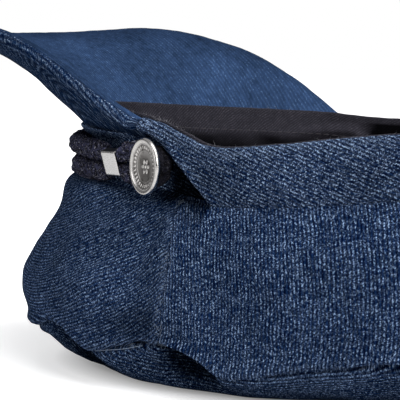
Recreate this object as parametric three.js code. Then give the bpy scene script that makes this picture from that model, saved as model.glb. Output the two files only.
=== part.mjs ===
// A soft denim skipper cap, lying upside down on its crown with its head opening upwards.
// Millimetres, +Z up. The floor is z = 0, the front of the cap is towards -Y, and the
// wearer's right is towards +X. Angles run round the cap from its front (0) over its right
// side (90) to its back (180). A standoff is a distance outwards from the band's outer face.
import * as THREE from 'three';
import { mergeVertices } from 'three/addons/utils/BufferGeometryUtils.js';

// Driving sizes
const HEAD_HALF_WIDTH = 80;
const HEAD_HALF_LENGTH = 98;
const GAP = 0.3;
const SIDES = 60;
const BAND_THICKNESS = 2.0;
const CLOTH_THICKNESS = 1.4;
const LINING_GAP = 0.8;
const LINING_THICKNESS = 0.9;
const SWEATBAND_THICKNESS = 0.9;
const SWEATBAND_HEIGHT = 27;
const SWEATBAND_RISE = 0.8;
const SEAM_ANGLE = 70;
const PEAK_CORNER_ANGLE = 60;
const PEAK_CORNER_HALF_WIDTH = 69.6;
const PEAK_CORNER_Y = -50.5;
const PEAK_LENGTH = 98.5;
const PEAK_UNDER_THICKNESS = 1.5;
const PEAK_OUTER_THICKNESS = 1.7;
const PEAK_SEAM_ALLOWANCE = 1.4;
const BUTTON_DIAMETER = 15;
const SLIDE_LENGTH = 7;

// Places along the crown's section, which runs from the band (0) over the shoulder (1), the
// widest place (2), the hem (3), the seam with the top piece (4) and the turn under it (5)
// to the edge of the flat on the floor (6)
const PANEL_PLACES = [0, 0.5, 1, 1.5, 2, 2.5, 3, 3.5, 3.97];
const TOP_PLACES = [4.04, 4.5, 5, 5.5, 6];
const LINING_PLACES = [0.15, 0.8, 1.6, 2.4, 3.2, 4, 5, 6];
const FLAT_RING = 0.5;
const FLAT_MIDDLE = [5, 3];
const PANEL_JOINT_OUT = 0.7;
const PANEL_SEAM_ANGLE_GAP = 0.11;

// Rows of the band and the sweatband under their rim, as fractions of the band's height
const BAND_ROWS = [0.32, 0.45, 0.6, 1];
const PULL_SPREAD = 0.35;

// The band is cut away under the peak, up to a short ramp just past the peak's corners
const PEAK_RAMP = { start: 0.5, end: 2 };
const PEAK_OUTS = [0, 0.12, 0.3, 0.55, 0.8, 1];
const PEAK_SECTIONS = 32;
const PEAK_ROOT_SPREAD = 0.3;
const PEAK_SWELL = 25;
const PEAK_ROOT_OUT = 0.1 - BAND_THICKNESS;

// Rows of numbers under named columns, read as smooth periodic functions of the angle
const BAND = table(['angle', 'rim', 'base', 'pull', 'pullStart'], [
  [-120, 67.0, 52.3, 0.0, 1.0],
  [-78, 67.0, 52.2, 0.0, 1.0],
  [-74, 67.1, 52.0, 1.6, 0.5],
  [-69, 67.4, 51.8, 3.8, 0.14],
  [-65, 67.7, 51.8, 4.0, 0.1],
  [-61, 68.2, 52.2, 3.6, 0.1],
  [-56, 69.2, 53.0, 2.7, 0.2],
  [-45, 70.2, 54.0, 1.8, 0.28],
  [-25, 71.4, 54.6, 1.5, 0.3],
  [0, 72.6, 55.0, 1.5, 0.3],
  [25, 72.3, 54.6, 1.5, 0.3],
  [45, 71.5, 53.8, 1.8, 0.28],
  [56, 70.8, 53.0, 2.7, 0.2],
  [61, 70.2, 52.2, 3.6, 0.1],
  [65, 68.4, 51.2, 4.0, 0.1],
  [69, 66.2, 50.2, 3.8, 0.14],
  [74, 63.2, 49.3, 1.6, 0.5],
  [78, 62.7, 48.9, 0.0, 1.0],
  [88, 63.9, 49.4, 0.0, 1.0],
  [96, 65.4, 50.5, 0.0, 1.0],
  [107, 66.8, 51.9, 0.0, 1.0],
  [130, 67.2, 52.6, 0.0, 1.0],
  [180, 67.0, 52.6, 0.0, 1.0],
]);

// The crown's section at each angle: standoff and height of its shoulder, its widest
// place, its hem above the seam, the seam with the top piece, the turn under it, and
// the edge of the flat that lies on the floor
const CROWN = table(['angle', 'shoulderOut', 'shoulderUp', 'wideOut', 'wideUp', 'hemOut', 'hemUp',
  'seamOut', 'seamUp', 'underOut', 'underUp', 'flatOut'], [
  [-150, 8, 44, 15, 28, 14, 17, 11, 12, 6, 3.0, -6],
  [-95, 9, 44, 17, 27, 16, 16, 12, 11, 7, 3.0, -6],
  [-45, 6, 46, 15, 27, 16, 15, 12.5, 10.5, 6, 3.5, -8],
  [0, 5.6, 47, 15.6, 27, 16.6, 14, 13.6, 9.5, 5, 4.0, -12],
  [20, 5.6, 47, 15.6, 27, 16.6, 14, 13.6, 9.5, 5, 4.0, -12],
  [36, 6.2, 45, 15.6, 27, 16.0, 15, 12.4, 12.5, 4.5, 4.5, -12],
  [46, 7, 43, 15.5, 27, 15.5, 18, 11.0, 15.5, 4, 4.5, -10],
  [57, 8, 41, 16, 25, 15, 16, 12.5, 10.3, 6, 3.5, -6],
  [70, 7, 39, 13.5, 26, 13, 18, 10.5, 14.3, 6, 3.5, -6],
  [77, 8, 39, 14, 26, 14, 16, 11, 12.2, 7, 3.4, -6],
  [83, 8, 39, 15, 26, 15.5, 13, 13.5, 7.2, 7, 2.5, -6],
  [95, 9, 42, 17, 26, 16, 16, 13, 10, 7, 4.0, -8],
  [107, 9, 43, 17, 27, 16, 18, 13, 13.0, 7, 5.0, -10],
  [150, 8, 44, 15, 28, 14, 17, 11, 12, 6, 3.0, -6],
]);

// The peak's free edge: its height against the sweep from the middle (0) to a corner (90)
const PEAK_EDGE = table(['sweep', 'height'], [
  [0, 94.3],
  [30, 94.7],
  [40, 95.5],
  [50, 96.2],
  [60, 94.4],
  [70, 88.8],
  [80, 79.2],
  [85, 74.0],
  [90, 70.2],
]);

const CORD_SIDES = 8;

// Half of the cord's closed loop, from the middle of the front round the right button and
// back: angle, height, standoff of its middle, and half of its depth and height
const CORD = table(['angle', 'up', 'out', 'halfDepth', 'halfHeight'], [
  [0, 63.4, 2.2, 2.3, 2.75],
  [10, 63.4, 2.2, 2.3, 2.75],
  [20, 63.2, 2.2, 2.3, 2.75],
  [30, 63.0, 2.2, 2.3, 2.75],
  [38, 62.5, 2.2, 2.3, 2.7],
  [45, 61.9, 2.2, 2.2, 2.5],
  [49.2, 60.6, 2.0, 1.7, 1.7],
  [51.4, 59.9, 1.95, 1.3, 1.05],
  [53.7, 59.9, 1.9, 1.3, 1.05],
  [56.0, 59.9, 1.85, 1.3, 1.05],
  [58.3, 60.9, 0.7, 1.7, 1.7],
  [61.2, 61.7, -0.2, 1.9, 2.3],
  [64.8, 62.1, 0.0, 2.0, 2.3],
  [67.2, 60.8, 0.3, 2.0, 2.3],
  [68.1, 58.2, 0.1, 2.0, 2.3],
  [67.2, 55.6, -0.4, 2.0, 2.3],
  [64.8, 54.2, -0.8, 2.0, 2.3],
  [61.2, 54.7, -0.9, 1.9, 2.3],
  [58.3, 55.7, -0.4, 1.7, 1.7],
  [56.0, 57.2, 1.1, 1.3, 1.05],
  [53.7, 57.2, 1.15, 1.3, 1.05],
  [51.4, 57.2, 1.2, 1.3, 1.05],
  [49.2, 56.7, 1.5, 1.7, 1.7],
  [45, 56.2, 1.7, 2.2, 2.5],
  [38, 56.7, 1.8, 2.3, 2.7],
  [30, 57.1, 1.9, 2.3, 2.75],
  [20, 57.4, 1.9, 2.3, 2.75],
  [10, 57.7, 1.9, 2.3, 2.75],
  [0, 57.7, 1.9, 2.3, 2.75],
]);

// The slide is a flat sleeve round both strands, leaning out at its top. The button hangs
// on a shank and is turned a little towards the front.
const SLIDE = {
  angle: 53.7, up: 58.55, out: 1.52, cavityDepth: 3.4, cavityHeight: 5.7, wall: 0.55, lean: 16,
  outerRadius: 1.5, cavityRadius: 1.0,
};
const BUTTON = { angle: 64.4, up: 58.2, faceOut: 5.2, turn: 12, shankRadius: 1.1, shankDepth: 8.7 };

// The button's half section: radius as a share of the button's, and depth behind its rim
const BUTTON_FACE = table(['radius', 'depth'], [
  [0, 1.0],
  [0.45, 0.85],
  [0.78, 0.35],
  [0.9, 0],
  [0.97, 0.15],
  [1, 0.6],
  [0.98, 1.2],
  [0.9, 1.6],
  [0.4, 2.1],
]);
const BUTTON_BACK_DEPTH = 2.4;
const BUTTON_SIDES = 24;

// Colours, as seen in soft daylight
const COLOURS = {
  denim: 0x29466b,
  denimUnder: 0x3a5580,
  sweatband: 0x3a383f,
  lining: 0x2c2a30,
  cord: 0x2a2735,
  steel: 0xc6c3bf,
};

function table(columns, rows) {
  return rows.map((row) => Object.fromEntries(columns.map((name, i) => [name, row[i]])));
}

// Cubic through the rows of one column, with slopes from each row's two neighbours. With a
// period the ends join round; without one they are held flat.
function smooth(rows, key, column, x, period = 0) {
  const count = rows.length;
  const at = (i) => {
    const turns = period ? Math.floor(i / count) : 0;
    const row = period ? rows[i - turns * count] : rows[Math.min(Math.max(i, 0), count - 1)];
    const beyond = period ? turns * period : (i < 0 ? -1 : i >= count ? 1 : 0);
    return [row[key] + beyond, row[column]];
  };
  const start = rows[0][key];
  const wrapped = period ? start + ((((x - start) % period) + period) % period) : x;
  let i = 0;
  while (i < count - (period ? 1 : 2) && at(i + 1)[0] <= wrapped) i += 1;
  const [[x0, y0], [x1, y1], [x2, y2], [x3, y3]] = [at(i - 1), at(i), at(i + 1), at(i + 2)];
  const width = x2 - x1;
  const t = (wrapped - x1) / width;
  const slope1 = ((y2 - y0) / (x2 - x0)) * width;
  const slope2 = ((y3 - y1) / (x3 - x1)) * width;
  return (2 * t ** 3 - 3 * t ** 2 + 1) * y1 + (t ** 3 - 2 * t ** 2 + t) * slope1
    + (3 * t ** 2 - 2 * t ** 3) * y2 + (t ** 3 - t ** 2) * slope2;
}

const band = (angle, column) => smooth(BAND, 'angle', column, angle, 360);
const crown = (angle, column) => smooth(CROWN, 'angle', column, angle, 360);

function ease(t) {
  const clamped = Math.min(Math.max(t, 0), 1);
  return clamped * clamped * (3 - 2 * clamped);
}

// Outward direction of the head opening's ellipse at an angle, seen from above
function outward(angle) {
  const a = THREE.MathUtils.degToRad(angle);
  return new THREE.Vector2(Math.sin(a) / HEAD_HALF_WIDTH, -Math.cos(a) / HEAD_HALF_LENGTH).normalize();
}

// The point at an angle, a standoff and a height
function place(angle, out, up) {
  const a = THREE.MathUtils.degToRad(angle);
  const n = outward(angle);
  return new THREE.Vector3(
    HEAD_HALF_WIDTH * Math.sin(a) + out * n.x,
    -HEAD_HALF_LENGTH * Math.cos(a) + out * n.y,
    up,
  );
}

// How far the cord and button pull the band inwards, at a fraction of its height from
// its rim (0) to its base (1)
function pulledIn(angle, fraction) {
  const start = Math.min(band(angle, 'pullStart'), 1);
  return Math.max(band(angle, 'pull'), 0) * ease((fraction - start) / PULL_SPREAD);
}

// Point of the crown's wall at a place along its section and a depth in from its outer face
function crownPoint(angle, along, depth) {
  const middlePlaces = ['shoulder', 'wide', 'hem', 'seam', 'under'];
  const section = [
    [PANEL_JOINT_OUT - pulledIn(angle, 1), band(angle, 'base') - GAP],
    ...middlePlaces.map((name) => [crown(angle, `${name}Out`), crown(angle, `${name}Up`)]),
    [crown(angle, 'flatOut'), 0],
  ];
  const last = section.length - 1;
  const mirror = (a, b) => [2 * a[0] - b[0], 2 * a[1] - b[1]];
  const i = Math.min(Math.floor(along), last - 1);
  const t = along - i;
  const p0 = i === 0 ? mirror(section[0], section[1]) : section[i - 1];
  const p3 = i === last - 1 ? [2 * section[last][0] - section[last - 1][0], 0] : section[i + 2];
  const spline = (k) => {
    const [a, b, c, d] = [p0[k], section[i][k], section[i + 1][k], p3[k]];
    const [first, second, third] = [c - a, 2 * a - 5 * b + 4 * c - d, 3 * b - a - 3 * c + d];
    const value = 0.5 * (2 * b + first * t + second * t ** 2 + third * t ** 3);
    const slope = 0.5 * (first + 2 * second * t + 3 * third * t ** 2);
    return [value, slope];
  };
  const [out, outSlope] = spline(0);
  const [up, upSlope] = spline(1);
  const length = Math.hypot(outSlope, upSlope);
  return place(angle, out + (depth * upSlope) / length, up - (depth * outSlope) / length);
}

// Closed wall between two grids of points, outer[row][column] and inner[row][column]. A
// round wall's columns meet again; a capped one closes its last row onto a middle point,
// which stands off the origin so that the origin lies within one facet.
function wall(outer, inner, { round = false, capped = false } = {}) {
  const rows = outer.length;
  const columns = outer[0].length;
  const points = [...outer.flat(), ...inner.flat()];
  const half = rows * columns;
  const index = (side, row, column) => side * half + row * columns + (column % columns);
  const faces = [];
  const quad = (a, b, c, d) => faces.push(a, b, c, a, c, d);
  const spans = round ? columns : columns - 1;
  for (let row = 0; row < rows - 1; row += 1) {
    for (let column = 0; column < spans; column += 1) {
      const [near, far] = [column, column + 1];
      quad(index(0, row, near), index(0, row + 1, near), index(0, row + 1, far), index(0, row, far));
      quad(index(1, row, near), index(1, row, far), index(1, row + 1, far), index(1, row + 1, near));
    }
  }
  for (let column = 0; column < spans; column += 1) {
    quad(index(0, 0, column), index(0, 0, column + 1), index(1, 0, column + 1), index(1, 0, column));
    if (!capped) {
      const row = rows - 1;
      const next = column + 1;
      quad(index(0, row, next), index(0, row, column), index(1, row, column), index(1, row, next));
    }
  }
  if (!round) {
    for (let row = 0; row < rows - 1; row += 1) {
      const end = columns - 1;
      quad(index(0, row, 0), index(1, row, 0), index(1, row + 1, 0), index(0, row + 1, 0));
      quad(index(0, row, end), index(0, row + 1, end), index(1, row + 1, end), index(1, row, end));
    }
  }
  if (capped) {
    [0, 1].forEach((side) => {
      const ring = (side === 0 ? outer : inner)[rows - 1];
      const middle = points.push(new THREE.Vector3(...FLAT_MIDDLE, ring[0].z)) - 1;
      for (let column = 0; column < spans; column += 1) {
        const [a, b] = [index(side, rows - 1, column), index(side, rows - 1, column + 1)];
        faces.push(...(side === 0 ? [a, middle, b] : [a, b, middle]));
      }
    });
  }
  return solid(points, faces);
}

// Geometry of a closed body, with its faces turned outwards whatever way they were listed
function solid(points, faces) {
  let volume = 0;
  for (let i = 0; i < faces.length; i += 3) {
    const [a, b, c] = [points[faces[i]], points[faces[i + 1]], points[faces[i + 2]]];
    volume += a.dot(b.clone().cross(c));
  }
  const ordered = volume > 0 ? faces : [...faces].reverse();
  const geometry = new THREE.BufferGeometry();
  const numbers = points.flatMap((point) => point.toArray());
  geometry.setAttribute('position', new THREE.Float32BufferAttribute(numbers, 3));
  geometry.setIndex(ordered);
  const merged = mergeVertices(geometry, 1e-4);
  merged.computeVertexNormals();
  return merged;
}

function grid(alongs, angles, point) {
  return alongs.map((along) => angles.map((angle) => point(angle, along)));
}

function spread(from, to, count) {
  return Array.from({ length: count + 1 }, (_, i) => from + ((to - from) * i) / count);
}

const roundAngles = spread(0, 360, SIDES).slice(0, -1);

// Angles of the crown's sections, with one at each side seam
const crownAngles = [...roundAngles, SEAM_ANGLE, 360 - SEAM_ANGLE].sort((a, b) => a - b);

// The crown's side is cut in four panels; each keeps half a gap at either seam
function crownPanel(from, to) {
  const between = crownAngles.filter((angle) => angle > from && angle < to);
  const angles = [from + PANEL_SEAM_ANGLE_GAP, ...between, to - PANEL_SEAM_ANGLE_GAP];
  const side = (depth) => grid(PANEL_PLACES, angles, (angle, along) => crownPoint(angle, along, depth));
  return wall(side(0), side(CLOTH_THICKNESS));
}

// Rows of a bag that follows the crown's section to the floor's flat, and one ring on it
function bagRows(places, depth) {
  const flatEdge = places[places.length - 1];
  return [
    ...grid(places, crownAngles, (angle, along) => crownPoint(angle, along, depth)),
    ...grid([FLAT_RING], crownAngles, (angle, share) => {
      const edge = crownPoint(angle, flatEdge, depth);
      return new THREE.Vector3(edge.x * share, edge.y * share, edge.z);
    }),
  ];
}

function crownTop() {
  const side = (depth) => bagRows(TOP_PLACES, depth);
  return wall(side(0), side(CLOTH_THICKNESS), { round: true, capped: true });
}

// The lining is a loose bag inside the crown, with its mouth just under the band
function lining() {
  const outer = CLOTH_THICKNESS + LINING_GAP;
  const side = (depth) => bagRows(LINING_PLACES, depth);
  return wall(side(outer), side(outer + LINING_THICKNESS), { round: true, capped: true });
}

// The band's own top edge is lower where the peak is sewn on it
const PEAK_SEAT = PEAK_UNDER_THICKNESS + PEAK_OUTER_THICKNESS + PEAK_SEAM_ALLOWANCE + 2 * GAP;
function bandRim(angle) {
  const fromFront = Math.abs(((angle + 540) % 360) - 180);
  const ramp = (PEAK_CORNER_ANGLE + PEAK_RAMP.end - fromFront) / (PEAK_RAMP.end - PEAK_RAMP.start);
  return band(angle, 'rim') - PEAK_SEAT * ease(ramp);
}

function heightInBand(angle, fraction) {
  return band(angle, 'rim') + (band(angle, 'base') - band(angle, 'rim')) * fraction;
}

// Angles of the band's sections, with two more on either side where the peak ends
const bandAngles = roundAngles.filter((angle) => Math.abs(Math.abs(180 - angle) - 120) > 1);
Object.values(PEAK_RAMP).forEach((beyond) => {
  bandAngles.push(PEAK_CORNER_ANGLE + beyond, 360 - PEAK_CORNER_ANGLE - beyond);
});
bandAngles.sort((a, b) => a - b);

function bandRow(angle, fraction, depth) {
  return place(angle, -depth - pulledIn(angle, fraction), heightInBand(angle, fraction));
}

function bandWall() {
  const side = (depth) => [
    ...grid([0], bandAngles, (angle) => {
      const rim = band(angle, 'rim');
      const cutAway = (rim - bandRim(angle)) / (rim - band(angle, 'base'));
      return bandRow(angle, cutAway, depth);
    }),
    ...grid(BAND_ROWS, bandAngles, (angle, fraction) => bandRow(angle, fraction, depth)),
  ];
  return wall(side(0), side(BAND_THICKNESS), { round: true });
}

// The sweatband hangs inside the band; its turned edge stands a little above the rim
function sweatband() {
  const outer = BAND_THICKNESS + GAP;
  const standing = (angle, rise, depth) => place(angle, -depth, band(angle, 'rim') + rise);
  const hanging = (angle, drop, depth) => {
    const out = -depth - pulledIn(angle, 1);
    return place(angle, out, band(angle, 'rim') - drop);
  };
  const side = (depth) => [
    ...grid([SWEATBAND_RISE], bandAngles, (angle, rise) => standing(angle, rise, depth)),
    ...grid([0, ...BAND_ROWS], bandAngles, (angle, fraction) => bandRow(angle, fraction, depth)),
    ...grid([SWEATBAND_HEIGHT], bandAngles, (angle, drop) => hanging(angle, drop, depth)),
  ];
  return wall(side(outer), side(outer + SWEATBAND_THICKNESS), { round: true });
}

// Upper face of the peak as the cap lies, at a share of the way from the left corner (-1) to
// the right one (1), and of the way out from the band's rim to the free edge. It rises
// steeply from the band and flattens outwards, most in the middle
function peakFace(across, out) {
  const root = place(across * PEAK_CORNER_ANGLE, PEAK_ROOT_OUT, 0);
  root.z = band(across * PEAK_CORNER_ANGLE, 'rim');
  const sweep = across * 90;
  const a = THREE.MathUtils.degToRad(sweep);
  const edge = new THREE.Vector3(
    PEAK_CORNER_HALF_WIDTH * Math.sin(a),
    PEAK_CORNER_Y - PEAK_LENGTH * Math.cos(a),
    smooth(PEAK_EDGE, 'sweep', 'height', Math.abs(sweep)),
  );
  const face = root.lerp(edge, out);
  face.z += PEAK_SWELL * out * (1 - out) * (1 - Math.abs(across) ** 3);
  return face;
}

// Point of the peak at a depth below its upper face, straight down at the band and square
// to the face farther out
function peakPoint(across, out, depth) {
  const step = 0.01;
  const s = Math.min(Math.max(across, step - 1), 1 - step);
  const v = Math.min(Math.max(out, step), 1 - step);
  const alongEdge = peakFace(s + step, v).sub(peakFace(s - step, v));
  const awayFromBand = peakFace(s, v + step).sub(peakFace(s, v - step));
  const down = awayFromBand.cross(alongEdge).normalize();
  if (down.z > 0) down.negate();
  down.lerp(new THREE.Vector3(0, 0, -1), 1 - ease(out / PEAK_ROOT_SPREAD)).normalize();
  return peakFace(across, out).addScaledVector(down, depth);
}

function peakLayer(top, thickness, rootExtra) {
  const acrosses = spread(-1, 1, PEAK_SECTIONS);
  const row = (out, depth) => acrosses.map((across) => peakPoint(across, out, depth));
  const layer = (depth) => PEAK_OUTS.map((out) => row(out, depth(out)));
  const bottom = (out) => top + thickness + rootExtra * (1 - ease(out / PEAK_ROOT_SPREAD));
  return wall(layer(() => top), layer(bottom));
}

// The cord is one closed tube, with an oval section at each row of its route
function cordLoop() {
  const left = CORD.slice(1, -1).reverse().map((row) => ({ ...row, angle: -row.angle }));
  const rows = [...CORD, ...left];
  const path = rows.map((row) => place(row.angle, row.out, row.up));
  const turns = spread(0, 2 * Math.PI, CORD_SIDES).slice(0, -1);
  const rings = path.map((middle, i) => {
    const ahead = path[(i + 1) % path.length];
    const behind = path[(i + path.length - 1) % path.length];
    const along = ahead.clone().sub(behind).normalize();
    const n = outward(rows[i].angle);
    const away = new THREE.Vector3(n.x, n.y, 0);
    away.addScaledVector(along, -away.dot(along)).normalize();
    const across = along.clone().cross(away);
    return turns.map((turn) => middle.clone()
      .addScaledVector(away, rows[i].halfDepth * Math.cos(turn))
      .addScaledVector(across, rows[i].halfHeight * Math.sin(turn)));
  });
  const faces = [];
  rings.forEach((_, i) => {
    const [here, next] = [i * CORD_SIDES, ((i + 1) % rings.length) * CORD_SIDES];
    for (let k = 0; k < CORD_SIDES; k += 1) {
      const beside = (k + 1) % CORD_SIDES;
      faces.push(here + k, here + beside, next + beside, here + k, next + beside, next + k);
    }
  });
  return solid(rings.flat(), faces);
}

// Turns a piece made along +Z so that +Z points out of the cap at an angle, with its own
// +Y upwards, and moves it to its standoff and height
function facing(angle, out, up, turn) {
  const n = outward(angle);
  const heading = Math.atan2(n.y, n.x) - THREE.MathUtils.degToRad(turn);
  const forward = new THREE.Vector3(Math.cos(heading), Math.sin(heading), 0);
  const upDirection = new THREE.Vector3(0, 0, 1);
  const sideways = upDirection.clone().cross(forward);
  const matrix = new THREE.Matrix4().makeBasis(sideways, upDirection, forward);
  return matrix.setPosition(place(angle, out, up));
}

function buttonSolid(side) {
  const { shankRadius, shankDepth } = BUTTON;
  const profile = [
    [0, shankDepth],
    [shankRadius, shankDepth],
    [shankRadius, BUTTON_BACK_DEPTH],
    ...BUTTON_FACE.map(({ radius, depth }) => [(radius * BUTTON_DIAMETER) / 2, depth]).reverse(),
  ].map(([radius, depth]) => new THREE.Vector2(radius, -depth));
  const geometry = new THREE.LatheGeometry(profile, BUTTON_SIDES);
  geometry.rotateX(Math.PI / 2);
  const { angle, faceOut, up, turn } = BUTTON;
  return geometry.applyMatrix4(facing(side * angle, faceOut, up, side * turn));
}

function roundedRectangle(target, width, height, radius) {
  const [x, y] = [width / 2 - radius, height / 2 - radius];
  target.absarc(x, y, radius, 0, Math.PI / 2);
  target.absarc(-x, y, radius, Math.PI / 2, Math.PI);
  target.absarc(-x, -y, radius, Math.PI, 1.5 * Math.PI);
  target.absarc(x, -y, radius, 1.5 * Math.PI, 2 * Math.PI);
  return target;
}

function slideSolid(side) {
  const { cavityDepth, cavityHeight, outerRadius, cavityRadius } = SLIDE;
  const [depth, height] = [cavityDepth + 2 * SLIDE.wall, cavityHeight + 2 * SLIDE.wall];
  const shape = roundedRectangle(new THREE.Shape(), depth, height, outerRadius);
  shape.holes.push(roundedRectangle(new THREE.Path(), cavityDepth, cavityHeight, cavityRadius));
  const options = { depth: SLIDE_LENGTH, bevelEnabled: false, curveSegments: 4 };
  const geometry = new THREE.ExtrudeGeometry(shape, options);
  geometry.translate(0, 0, -SLIDE_LENGTH / 2);
  geometry.rotateY(Math.PI / 2);
  geometry.rotateX(THREE.MathUtils.degToRad(SLIDE.lean));
  return geometry.applyMatrix4(facing(side * SLIDE.angle, SLIDE.out, SLIDE.up, 0));
}

const cap = new THREE.Group();

function add(name, geometry, color, roughness, metalness = 0) {
  const material = new THREE.MeshStandardMaterial({ color, roughness, metalness });
  const mesh = new THREE.Mesh(geometry, material);
  mesh.name = name;
  cap.add(mesh);
}

add('crown_top', crownTop(), COLOURS.denim, 0.9);
add('crown_panel_front_right', crownPanel(0, SEAM_ANGLE), COLOURS.denim, 0.9);
add('crown_panel_back_right', crownPanel(SEAM_ANGLE, 180), COLOURS.denim, 0.9);
add('crown_panel_back_left', crownPanel(180, 360 - SEAM_ANGLE), COLOURS.denim, 0.9);
add('crown_panel_front_left', crownPanel(360 - SEAM_ANGLE, 360), COLOURS.denim, 0.9);
add('band', bandWall(), COLOURS.denim, 0.9);
add('peak_under', peakLayer(0, PEAK_UNDER_THICKNESS, 0), COLOURS.denimUnder, 0.9);
add('peak_outer', peakLayer(PEAK_UNDER_THICKNESS + GAP, PEAK_OUTER_THICKNESS, PEAK_SEAM_ALLOWANCE),
  COLOURS.denim, 0.9);
add('sweatband', sweatband(), COLOURS.sweatband, 0.85);
add('lining', lining(), COLOURS.lining, 0.6);
add('braided_cord', cordLoop(), COLOURS.cord, 0.95);
[['right', 1], ['left', -1]].forEach(([name, side]) => {
  add(`slide_${name}`, slideSolid(side), COLOURS.steel, 0.25, 1);
  add(`button_${name}`, buttonSolid(side), COLOURS.steel, 0.3, 1);
});

export default cap;
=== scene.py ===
# A soft denim skipper cap lying upside down on its crown. Metres, +Z up; the front of the cap is
# towards -Y and the wearer's right side towards +X. Sizes inside the shape functions are in
# millimetres and degrees: an angle runs round the cap from its front (0) over its right (90).
import math

import bpy
import numpy as np
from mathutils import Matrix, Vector


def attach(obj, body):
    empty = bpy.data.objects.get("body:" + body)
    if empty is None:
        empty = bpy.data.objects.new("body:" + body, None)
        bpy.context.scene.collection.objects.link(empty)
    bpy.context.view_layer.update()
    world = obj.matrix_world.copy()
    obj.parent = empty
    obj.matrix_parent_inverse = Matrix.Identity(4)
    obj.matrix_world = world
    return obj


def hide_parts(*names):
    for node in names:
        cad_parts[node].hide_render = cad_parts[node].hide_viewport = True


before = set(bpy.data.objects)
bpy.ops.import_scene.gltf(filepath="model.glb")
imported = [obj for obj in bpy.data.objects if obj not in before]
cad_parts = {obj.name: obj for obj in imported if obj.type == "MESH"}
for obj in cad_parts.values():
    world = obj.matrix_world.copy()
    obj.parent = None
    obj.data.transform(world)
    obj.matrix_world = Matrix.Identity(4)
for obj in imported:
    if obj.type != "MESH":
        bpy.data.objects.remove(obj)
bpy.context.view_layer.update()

# Camera
# A long lens low over the table, behind the cap's right side, as the photograph was taken.
CAMERA_AIM = Vector((0.0, -0.0667, 0.0441))
CAMERA_DISTANCE = 0.6
CAMERA_TURN = math.radians(27)
CAMERA_RISE = math.radians(4)
PIXELS_PER_RADIAN = 2014
PICTURE_PIXELS = 400
SENSOR_MM = 36
camera = bpy.data.objects.new("camera", bpy.data.cameras.new("camera"))
bpy.context.scene.collection.objects.link(camera)
camera_back = Vector((
    math.cos(CAMERA_TURN) * math.cos(CAMERA_RISE),
    math.sin(CAMERA_TURN) * math.cos(CAMERA_RISE),
    math.sin(CAMERA_RISE),
))
camera.location = CAMERA_AIM + CAMERA_DISTANCE * camera_back
camera.rotation_euler = (-camera_back).to_track_quat("-Z", "Y").to_euler()
camera.data.sensor_width = SENSOR_MM
camera.data.lens = SENSOR_MM * PIXELS_PER_RADIAN / PICTURE_PIXELS
bpy.context.scene.camera = camera

# Table and light
# A white table that is lit up to white a little way off, as a studio sweep is, under a wide soft
# box, with a second one on the camera's side and a weak one in front. The sky is white to the eye.
bpy.context.scene.view_settings.view_transform = "Standard"


def soft_box(name, place, aim, size, power):
    """Square area light at a place, turned to a point, in metres and watts."""
    light = bpy.data.lights.new(name, "AREA")
    light.shape = "SQUARE"
    light.size = size
    light.energy = power
    lamp = bpy.data.objects.new(name, light)
    lamp.location = place
    lamp.rotation_euler = (Vector(aim) - Vector(place)).to_track_quat("-Z", "Y").to_euler()
    bpy.context.scene.collection.objects.link(lamp)


soft_box("overhead_box", (0.15, 0.3, 1.1), (0, 0, 0), 1.2, 10.5)
soft_box("front_box", (0.75, -0.8, 0.4), (0, 0, 0.03), 0.7, 2.2)
soft_box("side_box", (0.75, 0.85, 0.65), (0, 0, 0.03), 0.7, 9)


class Nodes:
    """Short way to add nodes to a tree and link them: add returns the node, and the other
    calls return what it puts out."""

    def __init__(self, tree):
        self.tree = tree

    def add(self, kind, *inputs, **settings):
        node = self.tree.nodes.new("ShaderNode" + kind)
        for key, value in settings.items():
            setattr(node, key, value)
        for socket, value in zip(node.inputs, inputs):
            self.feed(socket, value)
        return node

    def feed(self, socket, value):
        """Links another node's output to a socket, or sets the socket to a plain value."""
        if isinstance(value, bpy.types.NodeSocket):
            self.tree.links.new(value, socket)
        else:
            socket.default_value = value

    def math(self, operation, *inputs, clamp=False):
        return self.add("Math", *inputs, operation=operation, use_clamp=clamp).outputs[0]

    def times(self, product, *others):
        for other in others:
            product = self.math("MULTIPLY", product, other)
        return product

    def line(self, value, slope, start):
        return self.math("MULTIPLY_ADD", value, slope, start)

    def vector(self, operation, *inputs):
        node = self.add("VectorMath", operation=operation)
        sockets = [node.inputs[0], node.inputs["Scale" if operation == "SCALE" else 1]]
        for socket, value in zip(sockets, inputs):
            self.feed(socket, value)
        return node.outputs["Value" if operation == "LENGTH" else "Vector"]

    def triple(self, x, y, z):
        return self.add("CombineXYZ", x, y, z).outputs[0]

    def attribute(self, name, output="Fac"):
        return self.add("Attribute", attribute_name=name).outputs[output]

    def noise(self, vector, scale, detail=2.0, roughness=0.5, output="Fac"):
        node = self.tree.nodes.new("ShaderNodeTexNoise")
        for key, value in zip(("Vector", "Scale", "Detail", "Roughness"), (vector, scale, detail, roughness)):
            self.feed(node.inputs[key], value)
        return node.outputs[output]

    def chance(self, vector):
        """Three random numbers that stay the same all over a whole-numbered cell."""
        node = self.tree.nodes.new("ShaderNodeTexWhiteNoise")
        self.feed(node.inputs["Vector"], vector)
        return self.add("SeparateColor", node.outputs["Color"]).outputs

    def mix(self, factor, a, b):
        node = self.add("Mix", data_type="RGBA")
        for number, value in ((0, factor), (6, a), (7, b)):
            self.feed(node.inputs[number], value)
        return node.outputs[2]

    def span(self, value, low, high, to_low=0.0, to_high=1.0, smooth=True):
        """A value carried from one range over to another and held at its ends."""
        kind = "SMOOTHSTEP" if smooth else "LINEAR"
        return self.add("MapRange", value, low, high, to_low, to_high, interpolation_type=kind).outputs[0]


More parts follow.
